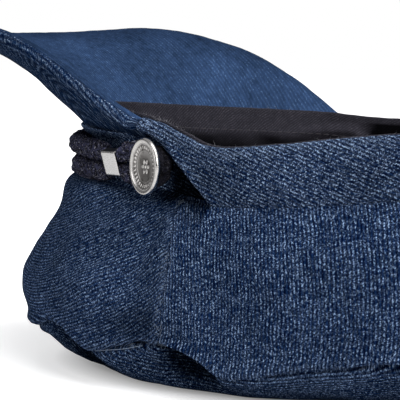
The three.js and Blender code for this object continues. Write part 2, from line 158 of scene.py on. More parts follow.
def start_material(name, settings):
    """A new material, the means to add nodes to it, and its shader with some inputs set."""
    material = bpy.data.materials.new(name)
    material.use_nodes = True
    shader = material.node_tree.nodes["Principled BSDF"]
    for key, value in settings.items():
        shader.inputs[key].default_value = value
    return material, Nodes(material.node_tree), shader


world = bpy.data.worlds.new("studio")
bpy.context.scene.world = world
world.use_nodes = True
world.node_tree.nodes.clear()
n = Nodes(world.node_tree)
sky_height = n.add("SeparateXYZ", n.add("TexCoord").outputs["Generated"]).outputs["Z"]
sky_ramp = n.add("ValToRGB", sky_height)
low_sky, high_sky = sky_ramp.color_ramp.elements
low_sky.color = (0.12, 0.12, 0.12, 1)
high_sky.color = (0.3, 0.3, 0.31, 1)
high_sky.position = 0.75
sky_light = n.add("Background", sky_ramp.outputs["Color"])
sky_seen = n.add("Background", (1, 1, 1, 1))
is_seen = n.add("LightPath").outputs["Is Camera Ray"]
sky = n.add("MixShader", is_seen, sky_light.outputs[0], sky_seen.outputs[0])
n.add("OutputWorld", sky.outputs[0])

# Half sizes of the head opening's ellipse in millimetres
HEAD_HALF_WIDTH = 80
HEAD_HALF_LENGTH = 98
TABLE_HALF = 12.0
table_mesh = bpy.data.meshes.new("table")
table_corners = [(-1, -1), (1, -1), (1, 1), (-1, 1)]
table_mesh.from_pydata([(x * TABLE_HALF, y * TABLE_HALF, 0) for x, y in table_corners], [], [(0, 1, 2, 3)])
table_top = bpy.data.objects.new("table", table_mesh)
bpy.context.scene.collection.objects.link(table_top)
table_paint, n, shader = start_material("white_table", {
    "Base Color": (0.85, 0.85, 0.85, 1), "Roughness": 0.9, "Specular IOR Level": 0.1})
# The glow rises outwards from under the cap, and only the camera sees it
here = n.add("TexCoord").outputs["Object"]
here = n.vector("MULTIPLY", here, (1000 / HEAD_HALF_WIDTH, 1000 / HEAD_HALF_LENGTH, 0))
from_cap = n.vector("LENGTH", here)
near_glow = n.span(from_cap, 0.88, 1.08, 0.0, 0.6, smooth=False)
far_glow = n.span(from_cap, 1.2, 3.0, 0.0, 0.5, smooth=False)
n.feed(shader.inputs["Emission Color"], n.math("ADD", near_glow, far_glow))
n.feed(shader.inputs["Emission Strength"], n.add("LightPath").outputs["Is Camera Ray"])
table_mesh.materials.append(table_paint)

# Crown side panels
# Four panels of 1.4 mm denim make the crown's soft side, with plain seams at the front, the back
# and either temple. They hang full over a seam with the top piece, and fold where it slumps.
CLOTH_THICKNESS = 1.4
PULL_SPREAD = 0.2
CINCH_DEPTH, CINCH_UP, CINCH_SPREAD, CINCH_END, CINCH_FADE = 4.0, 60.5, 6.2, 57, 14

# Angle, height of the band's rim and base, how far the cord pulls the band in, and from what
# share of the band's height
BAND = np.array([
    [-120, 66.4, 52.3, 0.0, 1.3], [-77, 65.6, 52.2, 0.0, 1.2], [-73, 65.6, 52.0, 4.0, 1.0],
    [-69, 65.8, 51.8, 4.8, 0.66], [-65, 66.2, 51.8, 5.0, 0.3], [-61, 66.9, 52.2, 4.2, 0.1],
    [-56, 67.8, 53.0, 2.9, 0.15], [-45, 68.8, 54.0, 1.8, 0.28], [-25, 70.3, 54.6, 1.5, 0.3],
    [0, 72.0, 55.0, 1.5, 0.3], [25, 72.3, 54.6, 1.5, 0.3], [45, 71.5, 53.8, 1.8, 0.28],
    [56, 70.8, 53.0, 2.9, 0.15], [61, 69.7, 52.2, 5.0, 0.1], [63, 69.0, 51.7, 6.2, 0.15],
    [65, 68.4, 51.2, 7.2, 0.22], [67, 67.3, 50.7, 7.8, 0.31], [69, 66.1, 50.2, 8.0, 0.43],
    [71, 64.9, 49.8, 7.8, 0.57], [73, 63.6, 49.4, 6.8, 0.73], [75, 62.9, 49.1, 4.8, 0.92],
    [78, 62.6, 48.9, 1.0, 1.15], [88, 63.9, 49.4, 0.0, 1.3], [96, 65.4, 50.5, 0.0, 1.3],
    [107, 66.8, 51.9, 0.0, 1.3], [130, 67.2, 52.6, 0.0, 1.3], [180, 67.0, 52.6, 0.0, 1.3],
])

# Angle, then standoff from the band's face and height of the crown's shoulder, its widest
# place, its hem, the seam with the top piece and the turn under it, and of the flat's edge
CROWN = np.array([
    [-150, 8, 44, 15, 28, 14, 17, 11, 12, 6, 3.0, -6],
    [-95, 9, 44, 17, 27, 16, 16, 12, 11, 7, 3.0, -6],
    [-45, 6, 46, 15, 27, 16, 15, 12.5, 10.5, 6, 3.5, -8],
    [0, 5.6, 42.5, 15.6, 26, 13.6, 14, 11.4, 9.5, 5, 4.0, -12],
    [20, 5.6, 42.5, 15.6, 26, 13.6, 14, 11.4, 9.5, 5, 4.0, -12],
    [36, 6.4, 42.5, 15.8, 26, 14.6, 15, 12.2, 12.5, 4.5, 4.5, -12],
    [46, 7, 43, 15.5, 27, 15.5, 18, 11.0, 15.5, 4, 4.5, -10],
    [57, 8, 41, 16, 25, 15, 15.5, 12.5, 9.6, 6, 3.5, -6],
    [70, 7, 39, 13.5, 26, 13, 17, 10.5, 12.9, 6, 3.5, -6],
    [77, 8, 39, 14, 26, 14, 15, 11, 11.0, 7, 3.4, -6],
    [83, 8, 39, 15, 26, 15.5, 13, 13.5, 7.2, 7, 2.5, -6],
    [95, 9, 42, 17, 26, 16, 16.5, 13.2, 10.9, 8, 4.6, -12],
    [107, 9, 43, 17, 27, 16, 17.5, 13.2, 12.4, 8.5, 5.4, -15],
    [150, 8, 44, 15, 28, 14, 17, 11, 12, 6, 3.0, -6],
])


def through(places, values, x):
    """Cubic through the values at the places, with each slope taken from the two neighbours."""
    slopes = np.zeros_like(values)
    slopes[1:-1] = (values[2:] - values[:-2]) / (places[2:] - places[:-2])
    i = np.clip(np.searchsorted(places, x, side="right") - 1, 0, len(places) - 2)
    width = places[i + 1] - places[i]
    t = np.clip((x - places[i]) / width, 0, 1)
    return ((2 * t**3 - 3 * t**2 + 1) * values[i] + (t**3 - 2 * t**2 + t) * width * slopes[i]
            + (3 * t**2 - 2 * t**3) * values[i + 1] + (t**3 - t**2) * width * slopes[i + 1])


def around(table, column, angle):
    """A column of a table at any angle: the cubic through its rows, closed after 360 degrees."""
    turns = np.concatenate([table[-2:, 0] - 360, table[:, 0], table[:3, 0] + 360])
    values = np.concatenate([table[-2:, column], table[:, column], table[:3, column]])
    return through(turns, values, (np.asarray(angle, float) - table[0, 0]) % 360 + table[0, 0])


def ease(t):
    """Smooth step from 0 to 1 while t goes from 0 to 1."""
    t = np.clip(t, 0, 1)
    return t * t * (3 - 2 * t)


def bell(x, width):
    """Bell curve of height 1 at zero, which falls to about a third at the width."""
    return np.exp(-(x / width) ** 2)


def unit(vectors):
    """Vectors scaled to a length of one."""
    return vectors / np.linalg.norm(vectors, axis=-1, keepdims=True)


def from_front(angle):
    """Degrees between an angle and the middle of the front, on either side."""
    return np.abs((angle + 180) % 360 - 180)


def outward(angle):
    """Unit vector square to the head opening's ellipse at each angle, seen from above."""
    a = np.radians(angle)
    return unit(np.stack([np.sin(a) / HEAD_HALF_WIDTH, -np.cos(a) / HEAD_HALF_LENGTH], -1))


def place(angle, out, up):
    """Points on the ellipse at each angle, moved outwards by a standoff and up to a height."""
    angle, out, up = np.broadcast_arrays(np.asarray(angle, float), out, up)
    a = np.radians(angle)
    n = outward(angle)
    return np.stack([
        HEAD_HALF_WIDTH * np.sin(a) + out * n[..., 0],
        -HEAD_HALF_LENGTH * np.cos(a) + out * n[..., 1],
        up], -1)


ELLIPSE_ANGLES = np.linspace(-360, 720, 2161)
ELLIPSE_STEPS = np.linalg.norm(np.diff(place(ELLIPSE_ANGLES, 0, 0), axis=0), axis=1)
ELLIPSE_LENGTHS = np.concatenate([[0], np.cumsum(ELLIPSE_STEPS)])
ELLIPSE_LENGTHS -= np.interp(0, ELLIPSE_ANGLES, ELLIPSE_LENGTHS)


def girth(angle):
    """Distance round the band from the middle of the front to an angle."""
    return np.interp(angle, ELLIPSE_ANGLES, ELLIPSE_LENGTHS)


def pulled_in(angle, fraction):
    """How far the cord pulls the band inwards, at a share of its height from rim to base."""
    start = around(BAND, 4, angle)
    return np.maximum(around(BAND, 3, angle), 0) * ease((fraction - start) / PULL_SPREAD)


def cinched(angle, up):
    """How far the cord squeezes the band in over the front, most at the cord's own height."""
    depth = CINCH_DEPTH * bell(up - CINCH_UP, CINCH_SPREAD)
    return depth * ease((CINCH_END - from_front(angle)) / CINCH_FADE)


def crown_section(angle, along):
    """Standoff and height of the crown's wall, and the outward normal of its section. The
    section is a Catmull-Rom curve from the band (0) over the shoulder (1), the widest place
    (2), the hem (3), the seam (4) and the turn under it (5) to the flat on the table (6)."""
    angle, along = np.broadcast_arrays(np.asarray(angle, float), np.asarray(along, float))
    outs = [0.7 - pulled_in(angle, 1)] + [around(CROWN, c, angle) for c in (1, 3, 5, 7, 9, 11)]
    ups = [around(BAND, 2, angle) - 0.3] + [around(CROWN, c, angle) for c in (2, 4, 6, 8, 10)]
    ups.append(np.zeros_like(angle))
    outs = np.stack([2 * outs[0] - outs[1], *outs, 2 * outs[-1] - outs[-2]])
    ups = np.stack([2 * ups[0] - ups[1], *ups, np.zeros_like(angle)])
    i = np.clip(np.floor(along), 0, 5).astype(int)
    t = along - i

    def curve(values):
        a, b, c, d = (np.take_along_axis(values, (i + k)[None], 0)[0] for k in range(4))
        first, second, third = c - a, 2 * a - 5 * b + 4 * c - d, 3 * b - a - 3 * c + d
        return (0.5 * (2 * b + first * t + second * t**2 + third * t**3),
                0.5 * (first + 2 * second * t + 3 * third * t**2))

    out, out_slope = curve(outs)
    up, up_slope = curve(ups)
    length = np.hypot(out_slope, up_slope)
    return out, up, -up_slope / length, out_slope / length


def run_along(out, up):
    """Distance down each column of a section from its first row."""
    steps = np.hypot(np.diff(out, axis=0), np.diff(up, axis=0))
    return np.concatenate([np.zeros((1, out.shape[1])), np.cumsum(steps, axis=0)])


def spaced(start, end, step, edge_step, edge):
    """Numbers from start to end, edge_step apart within an edge's width of either end, and
    step apart between."""
    count = max(int(np.ceil(edge / edge_step)), 1)
    first = np.linspace(start, start + edge, count + 1)
    last = np.linspace(end - edge, end, count + 1)
    middle = np.linspace(start + edge, end - edge, int(np.ceil((end - start - 2 * edge) / step)) + 1)
    return np.concatenate([first[:-1], middle, last[1:]])


CRUMPLE_WAVES = 14


def crumple(u, v, seed, shortest, longest):
    """Soft unevenness of slack cloth: the sum of sine waves in seeded directions and lengths,
    scaled to about one millimetre."""
    random = np.random.default_rng(seed)
    total = np.zeros(np.broadcast(u, v).shape)
    for _ in range(CRUMPLE_WAVES):
        heading = random.uniform(0, math.pi)
        length = math.exp(random.uniform(math.log(shortest), math.log(longest)))
        phase = random.uniform(0, 2 * math.pi)
        total += (length / longest) ** 0.7 * np.sin(
            2 * math.pi * (u * math.cos(heading) + v * math.sin(heading)) / length + phase)
    return total / math.sqrt(CRUMPLE_WAVES)


def fold(u, v, start, end, width, height):
    """Ridge or, with a negative height, valley along a line between two places: a bell curve
    across the line, fading over its ends."""
    (u0, v0), (u1, v1) = start, end
    length = math.hypot(u1 - u0, v1 - v0)
    along = ((u - u0) * (u1 - u0) + (v - v0) * (v1 - v0)) / length
    across = ((u - u0) * (v1 - v0) - (v - v0) * (u1 - u0)) / length
    beyond = np.maximum(np.maximum(-along, along - length), 0)
    return height * bell(across, width) * bell(beyond, 1.5 * width)


def seam(distance, along, depth, seed):
    """Sewn seam seen from its face: a narrow valley with a low welt on either side, and short
    puckers along it that die out over a few millimetres."""
    valley = -depth * bell(distance, 0.75)
    welt = 0.3 * depth * bell(np.abs(distance) - 2.4, 1.3)
    waves = np.sin(2 * math.pi * along / 5.7 + seed) + np.sin(2 * math.pi * along / 9.1 + 2 * seed)
    pucker = 0.11 * waves * np.exp(-np.abs(distance) / 3.5)
    return valley + welt + pucker


def quads(rows, columns, round_rows=False, round_columns=False):
    """Corner numbers of the four-sided faces between neighbouring points of a grid."""
    r = np.arange(rows if round_rows else rows - 1)[:, None]
    c = np.arange(columns if round_columns else columns - 1)[None, :]
    below, beside = (r + 1) % rows, (c + 1) % columns
    corners = [r * columns + c, r * columns + beside, below * columns + beside, below * columns + c]
    return np.stack(np.broadcast_arrays(*corners), -1).reshape(-1, 4)


def make_piece(name, points, face_groups, **attributes):
    """A mesh object from points in millimetres and groups of faces with equally many corners,
    turned outwards, with its number or vector attributes."""
    points = np.asarray(points, float).reshape(-1, 3)
    volume = 0.0
    for faces in face_groups:
        a = points[faces[:, 0]]
        for k in range(1, faces.shape[1] - 1):
            volume += np.einsum("ij,ij->", a, np.cross(points[faces[:, k]], points[faces[:, k + 1]]))
    if volume < 0:
        face_groups = [faces[:, ::-1] for faces in face_groups]
    sizes = np.concatenate([np.full(len(faces), faces.shape[1]) for faces in face_groups])
    corners = np.concatenate([faces.ravel() for faces in face_groups])
    starts = np.concatenate([[0], np.cumsum(sizes)[:-1]])
    mesh = bpy.data.meshes.new(name)
    mesh.vertices.add(len(points))
    mesh.vertices.foreach_set("co", (points * 0.001).astype(np.float32).ravel())
    mesh.loops.add(len(corners))
    mesh.loops.foreach_set("vertex_index", corners.astype(np.int32))
    mesh.polygons.add(len(sizes))
    mesh.polygons.foreach_set("loop_start", starts.astype(np.int32))
    mesh.update(calc_edges=True)
    mesh.validate()
    mesh.shade_smooth()
    for key, values in attributes.items():
        values = np.asarray(values, np.float32)
        kind = "FLOAT_VECTOR" if values.size == points.size else "FLOAT"
        layer = mesh.attributes.new(key, kind, "POINT")
        layer.data.foreach_set("vector" if kind == "FLOAT_VECTOR" else "value", values.ravel())
    piece = bpy.data.objects.new(name, mesh)
    bpy.context.scene.collection.objects.link(piece)
    return piece


def finish_piece(piece, material, slot, *nodes):
    """Gives a piece its finish, and has it ride on the cap in place of its nodes. The slot is not used."""
    piece.data.materials.append(material)
    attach(piece, "root")
    if nodes:
        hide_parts(*nodes)


TURN_STEPS = 4


def turned_edge(edge, before, across):
    """Rows of a half circle from one face's edge row to the other face's, standing out past
    the edge, as folded or pressed cloth does."""
    middle, half = (edge + across) / 2, (edge - across) / 2
    ahead = unit(edge - before) * np.linalg.norm(half, axis=-1, keepdims=True)
    turns = np.linspace(0, math.pi, TURN_STEPS + 2)[1:-1]
    return [middle + half * math.cos(t) + ahead * math.sin(t) for t in turns]


def cloth_strip(name, outer, inner, cloth, **attributes):
    """Closed strip of cloth between an outer and an inner grid of points, with both long edges
    turned and both ends flat. Its cloth places and other attributes are given on the outer
    grid; the cloth places run on round the second edge."""
    rows, columns = outer.shape[:2]
    foot = turned_edge(outer[-1], outer[-2], inner[-1])
    head = turned_edge(inner[0], inner[1], outer[0])
    points = np.concatenate([outer, foot, inner[::-1], head])
    ring = len(points)
    faces = [quads(ring, columns, round_rows=True)]
    number = np.arange(ring * columns).reshape(ring, columns)
    front, back = number[:rows], number[rows + TURN_STEPS:2 * rows + TURN_STEPS][::-1]
    foot_numbers = number[rows - 1:rows + TURN_STEPS + 1]
    head_numbers = np.concatenate([number[2 * rows + TURN_STEPS - 1:], number[:1]])
    for end, order in ((0, 1), (columns - 1, -1)):
        cap = np.stack([front[:-1, end], front[1:, end], back[1:, end], back[:-1, end]], -1)
        faces.append(cap[:, ::order])
        faces.append(foot_numbers[:, end][::order][None])
        faces.append(head_numbers[:, end][::order][None])

    def fold_on(row, before, edge_points, points_before, steps):
        """A row of an attribute and the next ones past a folded edge, as many steps of the
        half circle beyond it: on by the same amount for each millimetre."""
        run = np.linalg.norm(edge_points - points_before, axis=-1)
        run = run.reshape(row.shape[:1] + (1,) * (row.ndim - 1))
        arc = (math.pi / 2 * np.linalg.norm(outer[0] - inner[0], axis=-1)).reshape(run.shape)
        return [row + (row - before) / run * arc * step / (TURN_STEPS + 1) for step in steps]

    def wrap(values):
        steps = np.arange(1, TURN_STEPS + 1)
        foot_values = fold_on(values[-1], values[-2], outer[-1], outer[-2], steps)
        past_fold = fold_on(values[-1], values[-2], outer[-1], outer[-2], [TURN_STEPS + 1])[0]
        back_values = past_fold + values[-1] - values[::-1]
        head_values = fold_on(values[0], values[1], outer[0], outer[1], steps[::-1])
        return np.concatenate([values, foot_values, back_values, head_values])

    def repeat(values):
        foot_values, head_values = [values[-1:]] * TURN_STEPS, [values[:1]] * TURN_STEPS
        return np.concatenate([values, *foot_values, values[::-1], *head_values])

    repeated = {key: repeat(values) for key, values in attributes.items()}
    return make_piece(name, points, faces, cloth=wrap(cloth), **repeated)


# Denim, a 3/1 twill of indigo warp yarns over white weft. In its cloth coordinates x runs along
# a twill line and y across the lines; the yarns lie TWILL_LEAN away from the lines.
TWILL_LEAN = math.radians(35)
WEFT_SPACING = 1.45

weave = bpy.data.node_groups.new("denim_weave", "ShaderNodeTree")
for way, names, kind in (
    ("INPUT", ("Cloth",), "NodeSocketVector"),
    ("INPUT", ("WearAndShade", "Yarn", "Specks", "Mottle"), "NodeSocketFloat"),
    ("INPUT", ("Dark", "Middle", "Pale"), "NodeSocketColor"),
    ("OUTPUT", ("Colour",), "NodeSocketColor"),
    ("OUTPUT", ("Height",), "NodeSocketFloat"),
):
    for socket_name in names:
        weave.interface.new_socket(socket_name, in_out=way, socket_type=kind)

w = Nodes(weave)
given = weave.nodes.new("NodeGroupInput").outputs
result = weave.nodes.new("NodeGroupOutput").inputs
flat = given["Cloth"]
wander = w.vector("SUBTRACT", w.noise(flat, 0.16, output="Color"), (0.5, 0.5, 0.5))
jitter = w.vector("SUBTRACT", w.noise(flat, 1.3, output="Color"), (0.5, 0.5, 0.5))
moved = w.vector("ADD", w.vector("ADD", flat, wander), w.vector("SCALE", jitter, 0.14))
cloth_place = w.add("SeparateXYZ", moved).outputs
lean_cos, lean_sin = math.cos(TWILL_LEAN), math.sin(TWILL_LEAN)
across_warp = w.math("SUBTRACT", w.times(cloth_place["Y"], lean_cos), w.times(cloth_place["X"], lean_sin))
along_warp = w.math("ADD", w.times(cloth_place["X"], lean_cos), w.times(cloth_place["Y"], lean_sin))
warp_place = w.math("DIVIDE", across_warp, given["Yarn"])
weft_place = w.math("DIVIDE", along_warp, w.times(given["Yarn"], WEFT_SPACING))
warp_yarn = w.math("FLOOR", warp_place)
# Roundness of a warp yarn: 1 on its middle line and 0 at its sides
off_middle = w.line(w.math("SUBTRACT", warp_place, warp_yarn), 2.0, -1.0)
roundness = w.math("SUBTRACT", 1.0, w.times(off_middle, off_middle))
yarn_chance = w.chance(w.triple(warp_yarn, 3.0, 7.0))
float_place = w.math("ADD", weft_place, w.math("ADD", warp_yarn, w.times(yarn_chance["Red"], 0.2)))
float_place = w.math("DIVIDE", float_place, 4.0)
float_number = w.math("FLOOR", float_place)
# Distance from the crossing where the weft shows, and the arch of the float between crossings
from_crossing = w.math("SUBTRACT", w.math("SUBTRACT", float_place, float_number), 0.5)
from_crossing = w.math("ABSOLUTE", from_crossing)
on_warp = w.span(from_crossing, 0.11, 0.2)
arch = w.span(from_crossing, 0.1, 0.45)
top = w.times(w.span(from_crossing, 0.26, 0.46), w.math("POWER", roundness, 1.2))
float_chance = w.chance(w.triple(warp_yarn, float_number, 1.0))
crossing_chance = w.chance(w.triple(warp_yarn, w.math("FLOOR", w.times(weft_place, 1.4)), 5.0))
fibres = w.noise(w.triple(w.times(warp_place, 1.6), w.times(weft_place, 1.1), 0.0), 1.0, 3.0, 0.7)
grain = w.noise(flat, 3.2, 2.0, 0.8)
tone = w.times(w.line(roundness, 0.7, 0.3), w.line(crossing_chance["Red"], 1.3, 0.35),
               w.line(arch, 0.95, 0.08), w.span(grain, 0.38, 0.62, 0.5, 1.55, smooth=False))
# Streaks of paler floats that follow a twill line for a while
streaks = w.noise(w.vector("MULTIPLY", flat, (0.18, 1.1, 1.0)), 1.0, 3.0, 0.6)
clusters = w.span(streaks, 0.32, 0.68, 0.5, 1.4)
rare = w.line(w.math("POWER", crossing_chance["Green"], 4.0), 2.2, 0.02)
speck = w.times(w.line(top, 0.8, 0.2), rare, given["Specks"], clusters, w.span(grain, 0.43, 0.62, 0.35, 2.2))
# Where the attribute is above zero, flecks turn pale: cloth that has lost its dye, and on the band's roll a
# painted highlight
flecks = w.span(w.noise(flat, 2.2, 3.0, 0.7), 0.45, 0.62, 0.08, 1.3)
fade_and_highlight = w.times(w.math("MAXIMUM", given["WearAndShade"], 0.0), w.line(float_chance["Blue"], 0.7, 0.4), flecks,
               w.line(crossing_chance["Blue"], 0.9, 0.1), w.span(grain, 0.42, 0.62, 0.1, 1.6))
warp_colour = w.mix(tone, given["Dark"], given["Middle"])
warp_colour = w.mix(w.math("ADD", speck, fade_and_highlight, clamp=True), warp_colour, given["Pale"])
weft_tone = w.times(w.math("POWER", float_chance["Blue"], 2.0), given["Specks"], 0.5,
                    w.span(grain, 0.46, 0.62, 0.02, 1.2))
weft_colour = w.mix(weft_tone, given["Dark"], given["Pale"])
colour = w.mix(on_warp, weft_colour, warp_colour)
cloudy = w.math("ADD", w.noise(flat, 0.05, 3.0), w.noise(flat, 0.45, 3.0, 0.6))
cloudy = w.line(w.math("SUBTRACT", cloudy, 1.0), w.times(given["Mottle"], 5.0), 1.0)
# Where the attribute is below zero, shade is painted in: the colour is darkened
painted_shade = w.span(given["WearAndShade"], -1.0, 0.0, 0.05, 1.0, smooth=False)
w.feed(result["Colour"], w.vector("SCALE", colour, w.times(cloudy, painted_shade)))
height = w.times(roundness, w.line(arch, 0.6, 0.4), w.line(on_warp, 0.75, 0.25))
w.feed(result["Height"], w.line(fibres, 0.5, height))


def add_relief(n, shader, height, distance):
    """Relief of a shader's surface: a height node's output over a distance in metres."""
    bump = n.add("Bump")
    bump.inputs["Distance"].default_value = distance
    n.feed(bump.inputs["Height"], height)
    n.feed(shader.inputs["Normal"], bump.outputs[0])


def woven(name, dark, middle, pale, specks, mottle=0.2, yarn=0.33, relief=0.00009, sheen=0.0):
    """Twill finish: the weave's colour and relief on the piece's cloth places, and a matt,
    slightly fuzzy shader."""
    material, n, shader = start_material(name, {
        "Roughness": 0.92, "Specular IOR Level": 0.0, "Sheen Weight": sheen,
        "Sheen Roughness": 0.4, "Sheen Tint": (0.6, 0.7, 0.9, 1)})
    group = n.add("Group", node_tree=weave)
    for key, value in {
        "Cloth": n.attribute("cloth", "Vector"), "WearAndShade": n.attribute("worn"), "Yarn": yarn,
        "Specks": specks, "Mottle": mottle, "Dark": (*dark, 1), "Middle": (*middle, 1), "Pale": (*pale, 1),
    }.items():
        n.feed(group.inputs[key], value)
    n.feed(shader.inputs["Base Color"], group.outputs["Colour"])
    add_relief(n, shader, group.outputs["Height"], relief)
    return material


crown_denim = woven("crown_denim", (0.0001, 0.002, 0.014), (0.0031, 0.0205, 0.0785), (0.28, 0.4, 0.62),
                    specks=0.8, yarn=0.31)

# How far the temple seam lies from its 70 degrees, against the place along the section
TEMPLE_SEAM = 70
SEAM_SHIFT = np.array([[0, -3.6], [0.33, -3.0], [0.6, -0.8], [0.9, 1.0], [1.3, 2.2], [1.7, 2.9],
                       [2.1, 3.1], [2.6, 2.9], [3.1, 2.4], [4.1, 1.0]], float)

# Folds of the slack side: distance round the band and down from it for both ends, then width
# and height
FRONT_RIGHT_FOLDS = [
    ((112, 18), (86, 30), 4.5, 1.4), ((104, 12), (100, 26), 4.0, -1.5), ((78, 26), (60, 42), 6.5, 1.1),
    ((96, 44), (106, 50), 4.0, -1.4), ((90, 30), (84, 44), 6.0, 0.8), ((110, 30), (104, 44), 5.0, -0.8),
    ((92, 8), (76, 20), 4.0, 0.8), ((98, 34), (92, 52), 4.0, -0.9),
]
BACK_RIGHT_FOLDS = [
    ((124, 10), (128, 40), 5.0, -0.5), ((150, 8), (170, 22), 6.0, -0.6), ((140, 4), (200, 6), 3.0, 0.5),
    ((136, 44), (150, 56), 5.0, 0.6), ((180, 40), (230, 46), 8.0, 0.5), ((214, 14), (240, 30), 8.0, -0.5),
]
LEFT_FOLDS = [
    ((120, 14), (112, 40), 6.0, -0.6), ((84, 24), (60, 40), 8.0, 0.7), ((160, 10), (190, 26), 8.0, -0.6),
    ((200, 36), (250, 44), 8.0, 0.6), ((140, 30), (150, 50), 6.0, 0.5), ((30, 20), (44, 40), 8.0, -0.6),
]

# The front panel's twill lines bend with its fullness: their count is this square formula of
# the distance round the band and the height, and they lie a pitch apart
LINE_BEND = (0.57025, 1.4876, -0.004363, -0.005623, -0.003619)
LINE_PITCH = 1.4

# Half the gap between two panels in degrees, how far down the section they reach, and about how
# many millimetres a degree and a unit of the section are
PANEL_GAP, PANEL_END = 0.03, 3.955
DEGREE_MM, SECTION_MM = 1.6, 17

# Where the seam under the hem is drawn in: middle and half width in degrees, and depth
TUCKS = [(49, 9, 4.5), (76, 6.5, 5.5), (110, 12, 1.5)]


def tucked(angle, below):
    """How far the cloth is drawn in near the seam with the top piece, at a distance below it
    or, when negative, above it: over the last of the hem and then fading below."""
    deep = sum(depth * ease(1.25 * (1 - np.abs(angle - middle) / half)) for middle, half, depth in TUCKS)
    return deep * np.where(below < 0, ease(1 + below / 3.2), bell(below, 9))


def seam_angle(angle, along):
    """Where a panel's seam is on the section: the temple seams lean forward at the band."""
    lean = np.interp(along, SEAM_SHIFT[:, 0], SEAM_SHIFT[:, 1])
    return angle + lean * (angle == TEMPLE_SEAM) - lean * (angle == 360 - TEMPLE_SEAM)


def crown_panel(side, start, end, step, folds, seed, upright):
    """One side panel between two seams. Its points are the crown's section pushed outwards by
    folds, crumpling and its seams; its twill lines follow its own cut."""
    shares = spaced(PANEL_GAP, end - start - PANEL_GAP, step / DEGREE_MM, 0.2, 2.4) / (end - start)
    share, along = np.meshgrid(shares, spaced(0.0, PANEL_END, step / SECTION_MM, 0.02, 0.12))
    first, last = seam_angle(start, along), seam_angle(end, along)
    angle = first + (last - first) * share
    out, up, n_out, n_up = crown_section(angle, along)
    on_right = (start + end) / 2 < 180
    u = girth(angle) if on_right else girth(360) - girth(angle)
    v = run_along(out, up)
    to_top = run_along(out[::-1], up[::-1])[::-1]
    slack = ease(v / 9) * ease((to_top + 2) / 8)
    push = slack * (0.55 * crumple(u, v, seed, 14, 60) + 0.10 * crumple(u, v, seed + 1, 4, 12))
    push += sum(fold(u, v, *one) for one in folds)
    from_seam = np.minimum(np.abs(girth(angle) - girth(first)), np.abs(girth(angle) - girth(last)))
    push *= ease(from_seam / 7)
    push += slack * 0.5 * crumple(0 * u, v, 10, 12, 40)
    push += seam(from_seam, v, 0.22, 10) + seam(to_top + 0.4, u, 0.7, 15)
    # A roll above the hem's seam, a groove at the band, and fullness below the cord in front
    push += 0.9 * bell(to_top - 2.2, 2.2) - 0.7 * bell(v - 0.5, 1.1)
    push += 2.2 * bell(v - 5, 4.5) * ease((58 - from_front(angle)) / 14)
    depth = CLOTH_THICKNESS + 0.15 * push
    push -= tucked(angle, -to_top)
    outer = place(angle, out + push * n_out, up + push * n_up)
    inner = place(angle, out + (push - depth) * n_out, up + (push - depth) * n_up)
    if upright:
        lean = np.interp(from_front(angle), [70, 90, 107, 140], [0.95, 0.55, 0.25, 0])
        cloth = np.stack([up, u - lean * out, 0 * u], -1)
    else:
        a, b, c, d, e = LINE_BEND
        line = a * u + b * up + c * u**2 + d * u * up + e * up**2
        cloth = LINE_PITCH * np.stack([u * 0.94 + up * 0.34, line, 0 * u], -1)
    worn = 0.4 * bell(from_seam - 1.2, 1.1) + 0.45 * bell(to_top - 1.6, 1.2)
    # Painted shade above the hem's deepest tuck, under the button and behind it
    worn -= 0.45 * bell(angle - 68, 6) * bell(to_top - 7, 6)
    worn -= 0.9 * bell(angle - 64.5, 3.8) * ease((6.5 - v) / 4)
    worn -= 0.18 * bell(angle - 75, 9) * bell(v - 12, 8)
    piece = cloth_strip(side + "_panel", outer, inner, cloth=cloth, worn=worn)
    finish_piece(piece, crown_denim, "denim", "crown_panel_" + side)


crown_panel("front_right", 0, TEMPLE_SEAM, 0.48, FRONT_RIGHT_FOLDS, 11, False)
crown_panel("back_right", TEMPLE_SEAM, 180, 0.56, BACK_RIGHT_FOLDS, 12, True)
crown_panel("back_left", 180, 360 - TEMPLE_SEAM, 0.8, LEFT_FOLDS, 13, True)
crown_panel("front_left", 360 - TEMPLE_SEAM, 360, 0.8, LEFT_FOLDS, 14, False)

# Crown top piece
# One round of the same denim closes the crown and carries the cap on the table. It is sewn to the
# side panels all round, turns under below that seam and lies flat in the middle.
TOP_START = 4.045
TOP_COLUMNS = 620
FLAT_ROWS = 16


def closed_round(name, outer, inner, **attributes):
    """Closed dish of cloth between an outer and an inner grid of points that run round it, with
    a turned edge at their first rows and a point in the middle of their last."""
    rows, columns = outer.shape[:2]
    edge = turned_edge(inner[0], inner[1], outer[0])
    middles = [outer[-1].mean(0), inner[-1].mean(0)]
    points = np.concatenate([inner[::-1], edge, outer]).reshape(-1, 3)
    points = np.concatenate([points, middles])
    ring_count = 2 * rows + TURN_STEPS
    around_ring = np.arange(columns)
    beside = (around_ring + 1) % columns
    last = (ring_count - 1) * columns
    outer_fan = np.stack([last + around_ring, last + beside, np.full(columns, len(points) - 2)], -1)
    inner_fan = np.stack([beside, around_ring, np.full(columns, len(points) - 1)], -1)
    faces = [quads(ring_count, columns, round_columns=True), outer_fan, inner_fan]

    def wrap(values):
        flat = np.concatenate([values[::-1], *[values[:1]] * TURN_STEPS, values])
        flat = flat.reshape(ring_count * columns, -1)
        return np.concatenate([flat, [values[-1].mean(0).ravel()] * 2])

    return make_piece(name, points, faces, **{key: wrap(values) for key, values in attributes.items()})


def dish_grid(angles, alongs, flat_rows):
    """Angles, and the section's standoff, height and normal on rows down the crown and then in
    to its middle, with the share of the way to the middle of each flat row."""
    angle, along = np.meshgrid(angles, np.concatenate([alongs, np.full(flat_rows, 6.0)]))
    out, up, n_out, n_up = crown_section(angle, along)
    shrink = np.concatenate([np.zeros(len(alongs)), 0.985 * np.linspace(0, 1, flat_rows + 1)[1:]])
    return angle, along, out, up, n_out, n_up, shrink[:, None, None]


